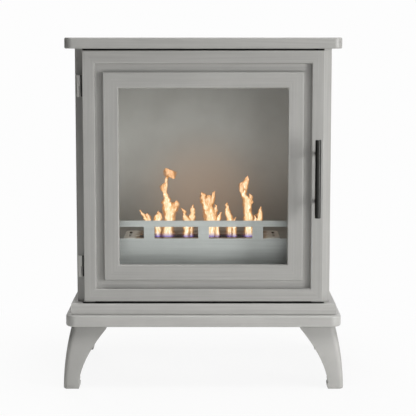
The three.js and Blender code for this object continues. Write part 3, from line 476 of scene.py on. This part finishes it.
# The oxide that tints the cover also dulls it, so that it is only in part a metal's mirror.
tinted_steel = brushed_stainless(
    "heat_tinted_stainless_cover", flame_lit_cover_colour, metallic=0.25, tint=heat_tint)
dress(tinted_steel, "burner_top_plate")


# ---- Burner wool ------------------------------------------------------------------
# A block of ceramic fibre wool, cut to the box, that soaks up the fuel. Its top is tufted
# where it was torn from the mat, and it browns and blackens in patches under the flames.

charred_colour = "#3a2f2a"
scorched_colour = "#8c7a66"
clean_wool_colour = "#d9d2c4"
char_patches = 1 / 0.016
wool_strands = 1 / 0.0012
tuft_height = 0.0016
tuft_spacing = 0.006
tuft_margin = 0.002  # the strip along the edges that stays flat

wool_low, wool_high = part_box("burner_wool")
wool_centre = (wool_low + wool_high) / 2
wool_size = wool_high - wool_low

bpy.ops.mesh.primitive_grid_add(
    x_subdivisions=140, y_subdivisions=42, size=1,
    location=(wool_centre.x, wool_centre.y, wool_high.z - tuft_height / 2))
wool = bpy.context.object
wool.name = "burner_wool_tufted"
bpy.ops.object.mode_set(mode="EDIT")
bpy.ops.transform.resize(value=(wool_size.x, wool_size.y, 1))
bpy.ops.mesh.extrude_region_move(TRANSFORM_OT_translate={
    "value": (0, 0, tuft_height / 2 - wool_size.z)})
bpy.ops.mesh.select_all(action="SELECT")
bpy.ops.mesh.normals_make_consistent(inside=False)
bpy.ops.object.mode_set(mode="OBJECT")
bpy.ops.object.transform_apply(location=True, rotation=True, scale=True)
top_tufts = wool.vertex_groups.new(name="top")
top_tufts.add([v.index for v in wool.data.vertices
               if v.co.z > wool_high.z - tuft_height
               and abs(v.co.x - wool_centre.x) < wool_size.x / 2 - tuft_margin
               and abs(v.co.y - wool_centre.y) < wool_size.y / 2 - tuft_margin], 1.0, "REPLACE")
tuft_pattern = bpy.data.textures.new("wool_tufts", "CLOUDS")
tuft_pattern.noise_scale = tuft_spacing
tuft_pattern.noise_depth = 3
tufts = wool.modifiers.new("tufts", "DISPLACE")
tufts.texture = tuft_pattern
tufts.texture_coords = "LOCAL"
tufts.direction = "Z"
tufts.vertex_group = "top"
tufts.mid_level = 0.5
tufts.strength = tuft_height
bpy.ops.object.modifier_apply(modifier="tufts")
bpy.ops.object.shade_smooth_by_angle(angle=math.radians(50))

# Torn ceramic fibre: soft, dull and stringy, cream where clean and charred in patches.
fibre_wool = new_material("torn_ceramic_fibre_wool")
place = add_node(fibre_wool, "ShaderNodeTexCoord").outputs["Object"]
char = add_node(fibre_wool, "ShaderNodeTexNoise", {
    "Vector": place, "Scale": char_patches, "Detail": 4.0, "Roughness": 0.65})
strands = add_node(fibre_wool, "ShaderNodeTexNoise", {
    "Vector": place, "Scale": wool_strands, "Detail": 2.0, "Distortion": 1.5})
burnt = add_node(fibre_wool, "ShaderNodeValToRGB", {0: char.outputs["Fac"]})
stops = burnt.color_ramp.elements
stops[0].position, stops[1].position = 0.36, 0.64
stops[0].color, stops[1].color = linear(charred_colour), linear(clean_wool_colour)
stops.new(0.5).color = linear(scorched_colour)
skin = add_node(fibre_wool, "ShaderNodeBump", {
    "Height": strands.outputs["Fac"], "Strength": 0.6, "Distance": 0.0006})
shader = add_node(fibre_wool, "ShaderNodeBsdfPrincipled", {
    "Base Color": burnt.outputs["Color"], "Roughness": 0.95, "Normal": skin.outputs["Normal"],
    "Sheen Weight": 0.3})
add_node(fibre_wool, "ShaderNodeOutputMaterial", {"Surface": shader.outputs["BSDF"]})
wool.data.materials.append(fibre_wool)
wool.select_set(False)
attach(wool, "burner")
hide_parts("burner_wool")


# ---- Flame shutter ----------------------------------------------------------------
# A stainless slide under the cover that shuts off the flame opening. Two pins stand up
# through the guide slots, and a poker pushes them forwards.

dress(tinted_steel, "shutter_plate")
for hand in ("left", "right"):
    smooth_copy(f"shutter_pin_{hand}", "turned", "flame_shutter", fastener_steel)


# ---- Flames -----------------------------------------------------------------------
# Ethanol flames standing on the wool: a white core in layers that thin out to an amber
# haze, violet where the vapour first burns. Each tongue is a soft flattened tube drawn up
# to a tip, and each layer holds the same tongues at its own width.

# Each tongue's stations from the wool up: level, place across and half width, in mm.
tongues = [
    [(289, -119, 4.7), (299, -119.0, 5.1), (308, -119, 3.7), (329, -119, 4.6), (336, -122.6, 3.7),
     (343, -127, 3.0), (348, -130, 2.1), (353, -130.5, 0.5)],
    [(289, -116, 6.2), (299, -116.0, 6.7), (313, -116, 5.1), (329, -115, 5.1), (336, -115.5, 5.1),
     (341, -116, 3.2), (344, -116, 0.7)],
    [(289, -96, 7.1), (299, -96.0, 7.7), (308, -96, 6.0), (327, -96, 7.8), (336, -94.3, 6.9),
     (342, -94.3, 5.1), (347, -95.4, 2.5), (351, -95.7, 0.5)],
    [(289, -74.7, 12.9), (299, -75.1, 13.9), (308, -75.4, 11.5), (327, -71.7, 10.6),
     (341, -72.2, 13.2), (352, -72.6, 13.4), (360, -72.2, 12.4), (368, -75.0, 9.0),
     (376, -77.5, 6.7), (385, -79.5, 4.8), (394, -81.6, 4.8), (402, -80.9, 5.0),
     (410, -78.2, 4.1), (420, -75.2, 2.4), (428, -74.2, 1.2)],
    [(416.5, -62.4, 3.0), (418, -62.9, 4.4), (421, -67, 8.4), (424, -70.8, 12.0),
     (425.5, -71.4, 12.2), (431, -70, 12.0), (432.5, -70, 11.4), (435, -73.8, 7.4),
     (438, -77.6, 3.6), (439, -78, 2.4)],
    [(387, -81.6, 1.8), (394, -86.2, 5.5), (400, -86.2, 5.5), (406, -83.9, 4.1), (410, -80, 1.4)],
    [(345, -65.5, 5.5), (357, -61, 6.9), (364, -59.3, 6.5), (368, -58, 4.1), (371, -57, 0.9)],
    [(289, -36.8, 8.0), (299, -35.8, 8.7), (313, -34.9, 6.9), (329, -32.6, 6.9), (336, -36.3, 5.1),
     (344, -39.5, 3.9), (351, -43.2, 3.0), (357, -47.6, 0.7)],
    [(289, -28.7, 8.0), (299, -28.1, 8.7), (313, -27.5, 6.9), (329, -25.7, 6.9), (338, -24.8, 6.0),
     (348, -22, 4.6), (356, -20.6, 3.5), (364, -21.1, 0.7)],
    [(289, 16.2, 13.8), (299, 17.1, 14.9), (308, 18, 12.4), (327, 15.7, 15.0), (341, 13.4, 13.0),
     (350, 11.0, 11.0), (358, 10.0, 9.6), (366, 9.5, 9.4), (374, 9.0, 9.6), (380, 9.0, 8.0),
     (383, 9.2, 3.0)],
    [(348, 9.0, 5.0), (358, 6.0, 6.4), (368, 2.0, 6.8), (377, -0.8, 6.6), (384, -2.8, 5.0),
     (390, -5.0, 1.4)],
    [(348, 12.0, 6.0), (358, 14.0, 7.4), (368, 16.4, 7.0), (377, 18.0, 5.6), (384, 19.6, 3.6),
     (391, 20.8, 0.9)],
    [(289, 24.2, 7.1), (299, 24.2, 7.7), (318, 24.2, 6.0), (336, 23.1, 6.5), (348, 24.2, 4.6),
     (355, 26.1, 3.0), (363, 26.1, 0.7)],
    [(289, 28.8, 5.6), (299, 29.1, 6.2), (322, 29.5, 4.6), (332, 31.8, 3.7), (341, 34.6, 2.8),
     (349, 36.4, 0.7)],
    [(289, 57.6, 9.5), (299, 57.0, 10.3), (313, 56.4, 8.3), (329, 55.7, 7.8), (341, 52.5, 6.2),
     (350, 49.5, 4.6), (358, 47.9, 3.0), (368, 48.1, 0.7)],
    [(289, 64.5, 6.2), (299, 64.2, 6.7), (318, 64, 5.1), (329, 64.9, 4.6), (334, 67.2, 2.3),
     (337, 67.9, 0.7)],
    [(289, 94.4, 10.5), (299, 94.7, 11.3), (308, 94.9, 9.2), (327, 94.9, 8.8), (345, 93.7, 8.3),
     (359, 93.2, 9.7), (371, 90.9, 8.3), (380, 87, 6.0), (387, 84.2, 5.8), (394, 83.8, 6.4),
     (401, 85.2, 7.4), (408, 87.6, 7.0), (414, 90.6, 4.8), (420, 92.1, 3.0), (425, 92.1, 0.9)],
    [(387, 81.7, 1.4), (393, 80.1, 5.5), (400, 78.7, 5.5), (407, 79.4, 4.6), (411, 82.9, 1.8)],
    [(359, 97.8, 4.1), (369, 99, 4.6), (376, 99.5, 4.1), (381, 97.8, 3.2), (386, 94.4, 0.9)],
    [(289, 112.8, 7.6), (299, 113.4, 8.3), (313, 114, 6.5), (329, 116.3, 6.0), (341, 117.9, 6.0),
     (349, 119, 4.6), (355, 119.2, 2.8), (361, 119.5, 0.5)],
    [(289, 105.9, 5.1), (299, 106.2, 5.6), (318, 106.4, 4.1), (330, 107, 3.2), (337, 108.7, 2.1),
     (343, 109.6, 0.5)],
]
# Depth of each tongue in the flame opening, in mm behind the cabinet's middle.
tongue_depths = [-58, -46, -50, -52, -50, -53, -48, -58, -50, -52, -54, -50, -44, -60, -50,
                 -58, -52, -54, -46, -56, -48]
flame_flatness = 0.62
sway_width = 0.003
flame_foot = 0.289  # the level that the gas rises from
full_waver = 0.03  # height above the foot from which the gas wavers fully
torn_off = 0.412  # gas that starts above this level has left its tongue and cooled to orange


def raise_tongue(stations, depth, share):
    """One tongue: an ellipse drawn up ring by ring through its stations, share of them wide."""
    bpy.ops.mesh.primitive_circle_add(vertices=12, radius=1, fill_type="NGON", location=(0, 0, 0))
    tongue = bpy.context.object
    bpy.ops.object.mode_set(mode="EDIT")
    level, side, half = [value / 1000 for value in stations[0]]
    half *= share
    sway = depth / 1000
    bpy.ops.transform.resize(value=(half, half * flame_flatness, 1))
    bpy.ops.transform.translate(value=(side, sway, level))
    for number, station in enumerate(stations[1:], 1):
        next_level, next_side, next_half = [value / 1000 for value in station]
        next_half *= share
        next_sway = depth / 1000 + sway_width * math.sin(number * 1.7 + depth)
        bpy.ops.mesh.extrude_region_move(TRANSFORM_OT_translate={
            "value": (next_side - side, next_sway - sway, next_level - level)})
        grown = next_half / half
        bpy.ops.transform.resize(value=(grown, grown, 1),
                                 center_override=(next_side, next_sway, next_level))
        level, side, half, sway = next_level, next_side, next_half, next_sway
    bpy.ops.mesh.select_all(action="SELECT")
    bpy.ops.mesh.normals_make_consistent(inside=False)
    bpy.ops.object.mode_set(mode="OBJECT")
    heights = [v.co.z for v in tongue.data.vertices]
    reach = max(heights) - wool_high.z
    cooled = 0.97 if min(heights) > torn_off else 0
    rise = tongue.data.attributes.new("rise", "FLOAT", "POINT")
    rise.data.foreach_set("value", [max(cooled, (z - wool_high.z) / reach) for z in heights])
    return tongue


tip_colour = "#e39a5c"
root_colour = "#5a4cc0"
violet_from, violet_to = 0.293, 0.303
root_thick = 0.330  # level at which a tongue's root has thickened fully
lick_grain = (300, 300, 80)  # licks about 3 mm across and 12 mm tall


def flame_material(name, bright, edge, strength, body_alpha, streak_alpha):
    """Glowing gas: it gives light and hides little, thins out in streaks and fades at the tip."""
    material = new_material(name)
    place = add_node(material, "ShaderNodeTexCoord").outputs["Object"]
    rise = add_node(material, "ShaderNodeAttribute", attribute_name="rise").outputs["Fac"]
    height = add_node(material, "ShaderNodeSeparateXYZ", {0: place}).outputs["Z"]
    stretched = add_node(material, "ShaderNodeVectorMath", {
        0: place, 1: lick_grain}, operation="MULTIPLY")
    licks = add_node(material, "ShaderNodeTexNoise", {
        "Vector": stretched.outputs[0], "Scale": 1.0, "Detail": 2.0,
        "Distortion": 0.8}).outputs["Fac"]
    warmth = add_node(material, "ShaderNodeMapRange", {
        "Value": licks, "From Min": 0.42, "From Max": 0.56})
    warm = add_node(material, "ShaderNodeMix", {
        0: warmth.outputs["Result"], 6: linear(edge), 7: linear(bright)}, data_type="RGBA")
    cooling = add_node(material, "ShaderNodeMapRange", {
        "Value": rise, "From Min": 0.75, "From Max": 1.0, "To Max": 0.75})
    tipped = add_node(material, "ShaderNodeMix", {
        0: cooling.outputs["Result"], 6: warm.outputs[2], 7: linear(tip_colour)},
        data_type="RGBA")
    above_root = add_node(material, "ShaderNodeMapRange", {
        "Value": height, "From Min": violet_from, "From Max": violet_to})
    rooted = add_node(material, "ShaderNodeMix", {
        0: above_root.outputs["Result"], 6: linear(root_colour), 7: tipped.outputs[2]},
        data_type="RGBA")
    alpha = add_node(material, "ShaderNodeMapRange", {
        "Value": licks, "From Min": 0.40, "From Max": 0.58,
        "To Min": streak_alpha, "To Max": body_alpha}).outputs["Result"]
    tip_fade = add_node(material, "ShaderNodeMapRange", {
        "Value": rise, "From Min": 0.8, "From Max": 1.0, "To Min": 1.0, "To Max": 0.42})
    root_fade = add_node(material, "ShaderNodeMapRange", {
        "Value": height, "From Min": flame_foot, "From Max": root_thick,
        "To Min": 0.16, "To Max": 1.0})
    for fade in (tip_fade, root_fade):
        alpha = add_node(material, "ShaderNodeMath", {
            0: alpha, 1: fade.outputs["Result"]}, operation="MULTIPLY").outputs[0]
    shader = add_node(material, "ShaderNodeBsdfPrincipled", {
        "Base Color": linear("#000000"), "Roughness": 1.0, "Specular IOR Level": 0.0,
        "Emission Color": rooted.outputs[2], "Emission Strength": strength, "Alpha": alpha})
    add_node(material, "ShaderNodeOutputMaterial", {"Surface": shader.outputs["BSDF"]})
    return material


# Each layer from the outside in: its name, its share of a tongue's width, its gas, the gas's
# colours in and between the licks, its glow, and how much a lick and a streak hide.
flame_layers = [
    ("flame_haze", 1.24, "amber_flame_haze", "#f2a25c", "#c8642c", 0.9, 0.14, 0.00),
    ("flame_sheath", 1.08, "orange_flame_sheath", "#fbb36a", "#dc7430", 1.0, 0.36, 0.06),
    ("flame_body", 0.88, "yellow_flame_body", "#ffdca4", "#f09a46", 1.2, 0.52, 0.12),
    ("flame_heart", 0.68, "cream_flame_heart", "#fff4dc", "#ffc478", 1.6, 0.88, 0.16),
    ("flame_core", 0.44, "white_flame_core", "#fffbf2", "#ffd694", 1.9, 0.97, 0.30),
]
licking = bpy.data.textures.new("flame_licking", "CLOUDS")
licking.noise_scale = 0.016
licking.noise_depth = 2
fringe = bpy.data.textures.new("flame_fringe", "CLOUDS")
fringe.noise_scale = 0.005
fringe.noise_depth = 1
for layer_name, share, *gas in flame_layers:
    parts = [raise_tongue(stations, depth, share)
             for stations, depth in zip(tongues, tongue_depths)]
    bpy.ops.object.select_all(action="DESELECT")
    for part in parts:
        part.select_set(True)
    bpy.context.view_layer.objects.active = parts[0]
    bpy.ops.object.join()
    layer = bpy.context.object
    layer.name = layer_name
    layer.visible_shadow = False  # burning gas casts no shadow
    rounding = layer.modifiers.new("rounding", "SUBSURF")
    rounding.levels = rounding.render_levels = 2
    bpy.ops.object.modifier_apply(modifier="rounding")
    raised = layer.vertex_groups.new(name="raised")
    for vertex in layer.data.vertices:
        freedom = (vertex.co.z - flame_foot) / full_waver
        raised.add([vertex.index], min(1.0, max(0.0, freedom)), "REPLACE")
    for pattern, strength in ((licking, 0.010), (fringe, 0.006)):
        waver = layer.modifiers.new("waver", "DISPLACE")
        waver.texture = pattern
        waver.texture_coords = "LOCAL"
        waver.direction = "X"
        waver.vertex_group = "raised"
        waver.strength = strength
        bpy.ops.object.modifier_apply(modifier="waver")
    bpy.ops.object.shade_smooth()
    layer.data.materials.clear()
    layer.data.materials.append(flame_material(*gas))
    layer.select_set(False)
    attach(layer, "burner")
    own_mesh(layer)


# ---- Door frames ------------------------------------------------------------------
# Two mitred frames folded from sheet stand proud of a recessed channel panel. The grain
# runs along each member and turns at the mitres, which are welded, ground and sprayed.

door_middle = (door_low.z + door_high.z) / 2
mitre_offset = ((door_high.z - door_low.z) - (door_high.x - door_low.x)) / 2
door_paint = sheet_paint("satin_paint_on_mitred_sheet", sheet_paint_colour, "mitred",
                         mitre=(door_middle, mitre_offset))
for name in ("door_outer_frame", "door_inner_frame"):
    smooth_copy(name, "mitred", "door", door_paint)
dress(door_paint, "door_channel_panel")


# ---- Door glass -------------------------------------------------------------------
# A 4 mm pane of clear heat-proof ceramic glass, bedded on woven glass-fibre tape and
# clamped by a steel retainer with four screws.

glass_tint = "#fbfcfb"
glass_smears = 1 / 0.080
dark_thread_colour = "#2c2a28"
light_thread_colour = "#4a4642"
tape_weave = 1 / 0.0015
tape_threads = 1 / 0.0008

# Clear ceramic glass: it lets nearly all through, and mirrors a little more at a slant, a
# touch softer where it's smeared. Only its front faces mirror, so the pane never turns dark.
clear_glass = new_material("clear_ceramic_glass")
place = add_node(clear_glass, "ShaderNodeTexCoord").outputs["Object"]
smears = add_node(clear_glass, "ShaderNodeTexNoise", {
    "Vector": place, "Scale": glass_smears, "Detail": 3.0})
polish = add_node(clear_glass, "ShaderNodeMapRange", {
    "Value": smears.outputs["Fac"], "To Min": 0.02, "To Max": 0.07})
window = add_node(clear_glass, "ShaderNodeBsdfTransparent", {"Color": linear(glass_tint)})
mirror = add_node(clear_glass, "ShaderNodeBsdfGlossy", {"Roughness": polish.outputs["Result"]})
behind = add_node(clear_glass, "ShaderNodeNewGeometry").outputs["Backfacing"]
front = add_node(clear_glass, "ShaderNodeMath", {0: 1.0, 1: behind}, operation="SUBTRACT")
slant = add_node(clear_glass, "ShaderNodeFresnel", {"IOR": 1.3})
share = add_node(clear_glass, "ShaderNodeMath", {
    0: slant.outputs[0], 1: front.outputs[0]}, operation="MULTIPLY")
pane = add_node(clear_glass, "ShaderNodeMixShader", {
    0: share.outputs[0], 1: window.outputs[0], 2: mirror.outputs[0]})
add_node(clear_glass, "ShaderNodeOutputMaterial", {"Surface": pane.outputs[0]})
dress(clear_glass, "door_glass")

# Woven glass-fibre tape, graphite-dark: a 1.5 mm plain weave with a soft dull surface.
gasket_tape = new_material("woven_glass_fibre_tape")
place = add_node(gasket_tape, "ShaderNodeTexCoord").outputs["Object"]
weave = add_node(gasket_tape, "ShaderNodeTexChecker", {
    "Vector": place, "Color1": linear(light_thread_colour),
    "Color2": linear(dark_thread_colour), "Scale": tape_weave})
threads = add_node(gasket_tape, "ShaderNodeTexNoise", {"Vector": place, "Scale": tape_threads})
skin = add_node(gasket_tape, "ShaderNodeBump", {
    "Height": threads.outputs["Fac"], "Strength": 0.4, "Distance": 0.0003})
shader = add_node(gasket_tape, "ShaderNodeBsdfPrincipled", {
    "Base Color": weave.outputs["Color"], "Roughness": 0.9, "Normal": skin.outputs["Normal"]})
add_node(gasket_tape, "ShaderNodeOutputMaterial", {"Surface": shader.outputs["BSDF"]})
dress(gasket_tape, "glass_gasket")

dress(fastener_steel, "glass_retainer")
for number in range(1, 5):
    smooth_copy(f"retainer_screw_{number}", "turned", "door", fastener_steel)


# ---- Handle -----------------------------------------------------------------------
# A turned steel bar on two round posts, blackened and lacquered. Screws hold the posts
# from inside the stile.

black_steel_colour = "#262625"
worn_steel_colour = "#3c3c3a"
turning_grain = (200, 200, 350)  # marks 5 mm across the bar and 3 mm along it

# Blackened steel: a dark satin metal that catches a thin highlight down its side.
handle_steel = new_material("blackened_satin_steel")
place = add_node(handle_steel, "ShaderNodeTexCoord").outputs["Object"]
turning = add_node(handle_steel, "ShaderNodeVectorMath", {
    0: place, 1: turning_grain}, operation="MULTIPLY")
marks = add_node(handle_steel, "ShaderNodeTexNoise", {
    "Vector": turning.outputs[0], "Scale": 1.0})
colour = add_node(handle_steel, "ShaderNodeMix", {
    0: marks.outputs["Fac"], 6: linear(black_steel_colour), 7: linear(worn_steel_colour)},
    data_type="RGBA")
gloss = add_node(handle_steel, "ShaderNodeMapRange", {
    "Value": marks.outputs["Fac"], "To Min": 0.24, "To Max": 0.42})
shader = add_node(handle_steel, "ShaderNodeBsdfPrincipled", {
    "Base Color": colour.outputs[2], "Roughness": gloss.outputs["Result"], "Metallic": 1.0})
add_node(handle_steel, "ShaderNodeOutputMaterial", {"Surface": shader.outputs["BSDF"]})
for name in ("handle_bar", "handle_post_upper", "handle_post_lower"):
    smooth_copy(name, "turned", "door", handle_steel)
for end in ("upper", "lower"):
    smooth_copy(f"handle_screw_{end}", "turned", "door", fastener_steel)


# ---- Hinges -----------------------------------------------------------------------
# Two barrel hinges welded on before painting: a knuckle on the casing, a knuckle on the
# door's edge, and a bare steel pin through both.

hinge_pale_paint_colour = "#c9c8c4"
hinge_gap_left, hinge_gap_right = door_low.x - 0.0042, door_low.x + 0.001

# The casing's paint, paler and glossier: the paleness is a painted highlight on the barrels, and
# the gap is black with painted shade.
hinge_paint = sheet_paint(
    "pale_satin_paint_on_hinges", hinge_pale_paint_colour, "upright", rough=(0.22, 0.32),
    shade_box=((hinge_gap_left, -1, 0), (hinge_gap_right, 1, 1)))
for end in ("upper", "lower"):
    smooth_copy(f"hinge_{end}_cabinet_leaf", "welded", "cabinet", hinge_paint)
    smooth_copy(f"hinge_{end}_door_leaf", "welded", "door", hinge_paint)
    smooth_copy(f"hinge_{end}_pin", "turned", "cabinet", fastener_steel)


# ---- Magnet catch -----------------------------------------------------------------
# A magnet in a moulded heat-proof housing behind the right flange, and the stainless
# strike plate that it holds on the door.

dark_resin_colour = "#232324"
light_resin_colour = "#343435"
resin_speckle = 1 / 0.001

# Moulded phenolic resin: near black and dull, with a fine speckle of filler.
housing_plastic = new_material("moulded_phenolic_housing")
place = add_node(housing_plastic, "ShaderNodeTexCoord").outputs["Object"]
speckle = add_node(housing_plastic, "ShaderNodeTexNoise", {
    "Vector": place, "Scale": resin_speckle})
gloss = add_node(housing_plastic, "ShaderNodeMapRange", {
    "Value": speckle.outputs["Fac"], "To Min": 0.5, "To Max": 0.7})
colour = add_node(housing_plastic, "ShaderNodeMix", {
    0: speckle.outputs["Fac"], 6: linear(dark_resin_colour), 7: linear(light_resin_colour)},
    data_type="RGBA")
shader = add_node(housing_plastic, "ShaderNodeBsdfPrincipled", {
    "Base Color": colour.outputs[2], "Roughness": gloss.outputs["Result"]})
add_node(housing_plastic, "ShaderNodeOutputMaterial", {"Surface": shader.outputs["BSDF"]})
dress(housing_plastic, "magnet_catch")
dress(burner_steel, "strike_plate")


# ---- Studio floor and backdrop ----------------------------------------------------
# A pale seamless floor that fades to white away from the fireplace and keeps the soft
# shadow under the legs, in a white surround that only the camera, glass and gloss see.
# Two black felt cards, which only gloss sees, darken the edges that face left.

floor_colour = "#f2f2f0"
backdrop_colour = "#fdfdfd"
felt_colour = "#1c1c1c"
shadow_zone, white_zone = 0.30, 0.8  # distances between which the floor fades to white


def looked_at(material):
    """1 for what the camera, gloss or glass looks straight at, 0 for light on the object."""
    path = add_node(material, "ShaderNodeLightPath").outputs
    seen = path["Is Camera Ray"]
    for ray in ("Is Transmission Ray", "Is Glossy Ray"):
        seen = add_node(material, "ShaderNodeMath", {
            0: seen, 1: path[ray]}, operation="MAXIMUM").outputs[0]
    return seen


bpy.ops.mesh.primitive_plane_add(size=24, location=(0, 0, 0))
floor = bpy.context.object
floor.name = "studio_floor"

# Matt pale paper, whose shadow stays while the rest of it goes to an even white.
pale_floor = new_material("seamless_pale_floor")
place = add_node(pale_floor, "ShaderNodeTexCoord").outputs["Object"]
away = add_node(pale_floor, "ShaderNodeVectorMath", {0: place}, operation="LENGTH")
far = add_node(pale_floor, "ShaderNodeMapRange", {
    "Value": away.outputs["Value"], "From Min": shadow_zone, "From Max": white_zone,
    "To Min": 0.92, "To Max": 1.0}, interpolation_type="SMOOTHSTEP")
white_share = add_node(pale_floor, "ShaderNodeMath", {
    0: looked_at(pale_floor), 1: far.outputs["Result"]}, operation="MULTIPLY")
matt = add_node(pale_floor, "ShaderNodeBsdfDiffuse", {"Color": linear(floor_colour)})
glow = add_node(pale_floor, "ShaderNodeEmission", {
    "Color": linear(backdrop_colour), "Strength": 1.0})
surface = add_node(pale_floor, "ShaderNodeMixShader", {
    0: white_share.outputs[0], 1: matt.outputs[0], 2: glow.outputs[0]})
add_node(pale_floor, "ShaderNodeOutputMaterial", {"Surface": surface.outputs[0]})
floor.data.materials.append(pale_floor)
floor.select_set(False)

# Black felt, which gives no light back.
black_felt = new_material("black_felt")
matt = add_node(black_felt, "ShaderNodeBsdfDiffuse", {"Color": linear(felt_colour)})
add_node(black_felt, "ShaderNodeOutputMaterial", {"Surface": matt.outputs[0]})
for name, size, place, turn in (
        ("studio_flag_side", 4.4, (-1.5, -0.1, 0.9), (0, math.pi / 2, 0)),
        ("studio_flag_rear", 1.5, (-1.05, 1.9, 0.6), (math.pi / 2, 0, 0))):
    bpy.ops.mesh.primitive_plane_add(size=size, location=place, rotation=turn)
    flag = bpy.context.object
    flag.name = name
    flag.visible_camera = False
    flag.visible_shadow = False
    flag.visible_diffuse = False
    flag.data.materials.append(black_felt)
    flag.select_set(False)

surround = bpy.data.worlds.new("white_surround")
bpy.context.scene.world = surround
surround.use_nodes = True
surround.node_tree.nodes.clear()
sky = add_node(surround, "ShaderNodeBackground", {
    "Color": linear(backdrop_colour), "Strength": looked_at(surround)})
add_node(surround, "ShaderNodeOutputWorld", {"Surface": sky.outputs[0]})


# ---- Studio lamps -----------------------------------------------------------------
# A large soft key from the right, a broad top light, a weak fill by the camera, a low kick
# on the right leg, and a rear light that shapes the left side without a shine of its own.


def soft_lamp(name, place, aim, width, height, power, mirrored=True):
    """A soft rectangular lamp, in metres and watts, that the camera doesn't see."""
    turn = (Vector(aim) - Vector(place)).to_track_quat("-Z", "Y").to_euler()
    bpy.ops.object.light_add(type="AREA", location=place, rotation=turn)
    lamp = bpy.context.object
    lamp.name = name
    lamp.data.shape = "RECTANGLE"
    lamp.data.size, lamp.data.size_y = width, height
    lamp.data.energy = power
    lamp.visible_camera = False
    lamp.visible_glossy = mirrored
    lamp.select_set(False)


soft_lamp("key_lamp", (3.9, -2.9, 0.7), (0, 0, 0.4), 1.4, 1.8, 130)
soft_lamp("top_lamp", (0.2, -0.5, 4.2), (0, 0, 0.4), 2.0, 2.0, 125)
soft_lamp("fill_lamp", (1.4, -3.4, 1.3), (0, 0, 0.4), 1.4, 1.0, 14)
soft_lamp("kick_lamp", (1.3, -1.3, 0.12), (0, 0, 0.2), 0.6, 0.2, 3.5)
soft_lamp("rear_lamp", (-0.9, 3.6, 1.2), (0, 0, 0.4), 2.0, 1.6, 110, mirrored=False)


# ---- Camera -----------------------------------------------------------------------
# At the photograph's angle: straight on, 2.9 m away and level with the top, tipped down
# by 7 degrees.

bpy.ops.object.camera_add(location=(0.0094, -2.93659, 0.70949), rotation=(math.radians(83), 0, 0))
camera = bpy.context.object
camera.data.lens = 119.94
camera.data.sensor_width = 36
camera.select_set(False)
bpy.context.scene.camera = camera
bpy.context.scene.view_settings.view_transform = "Standard"
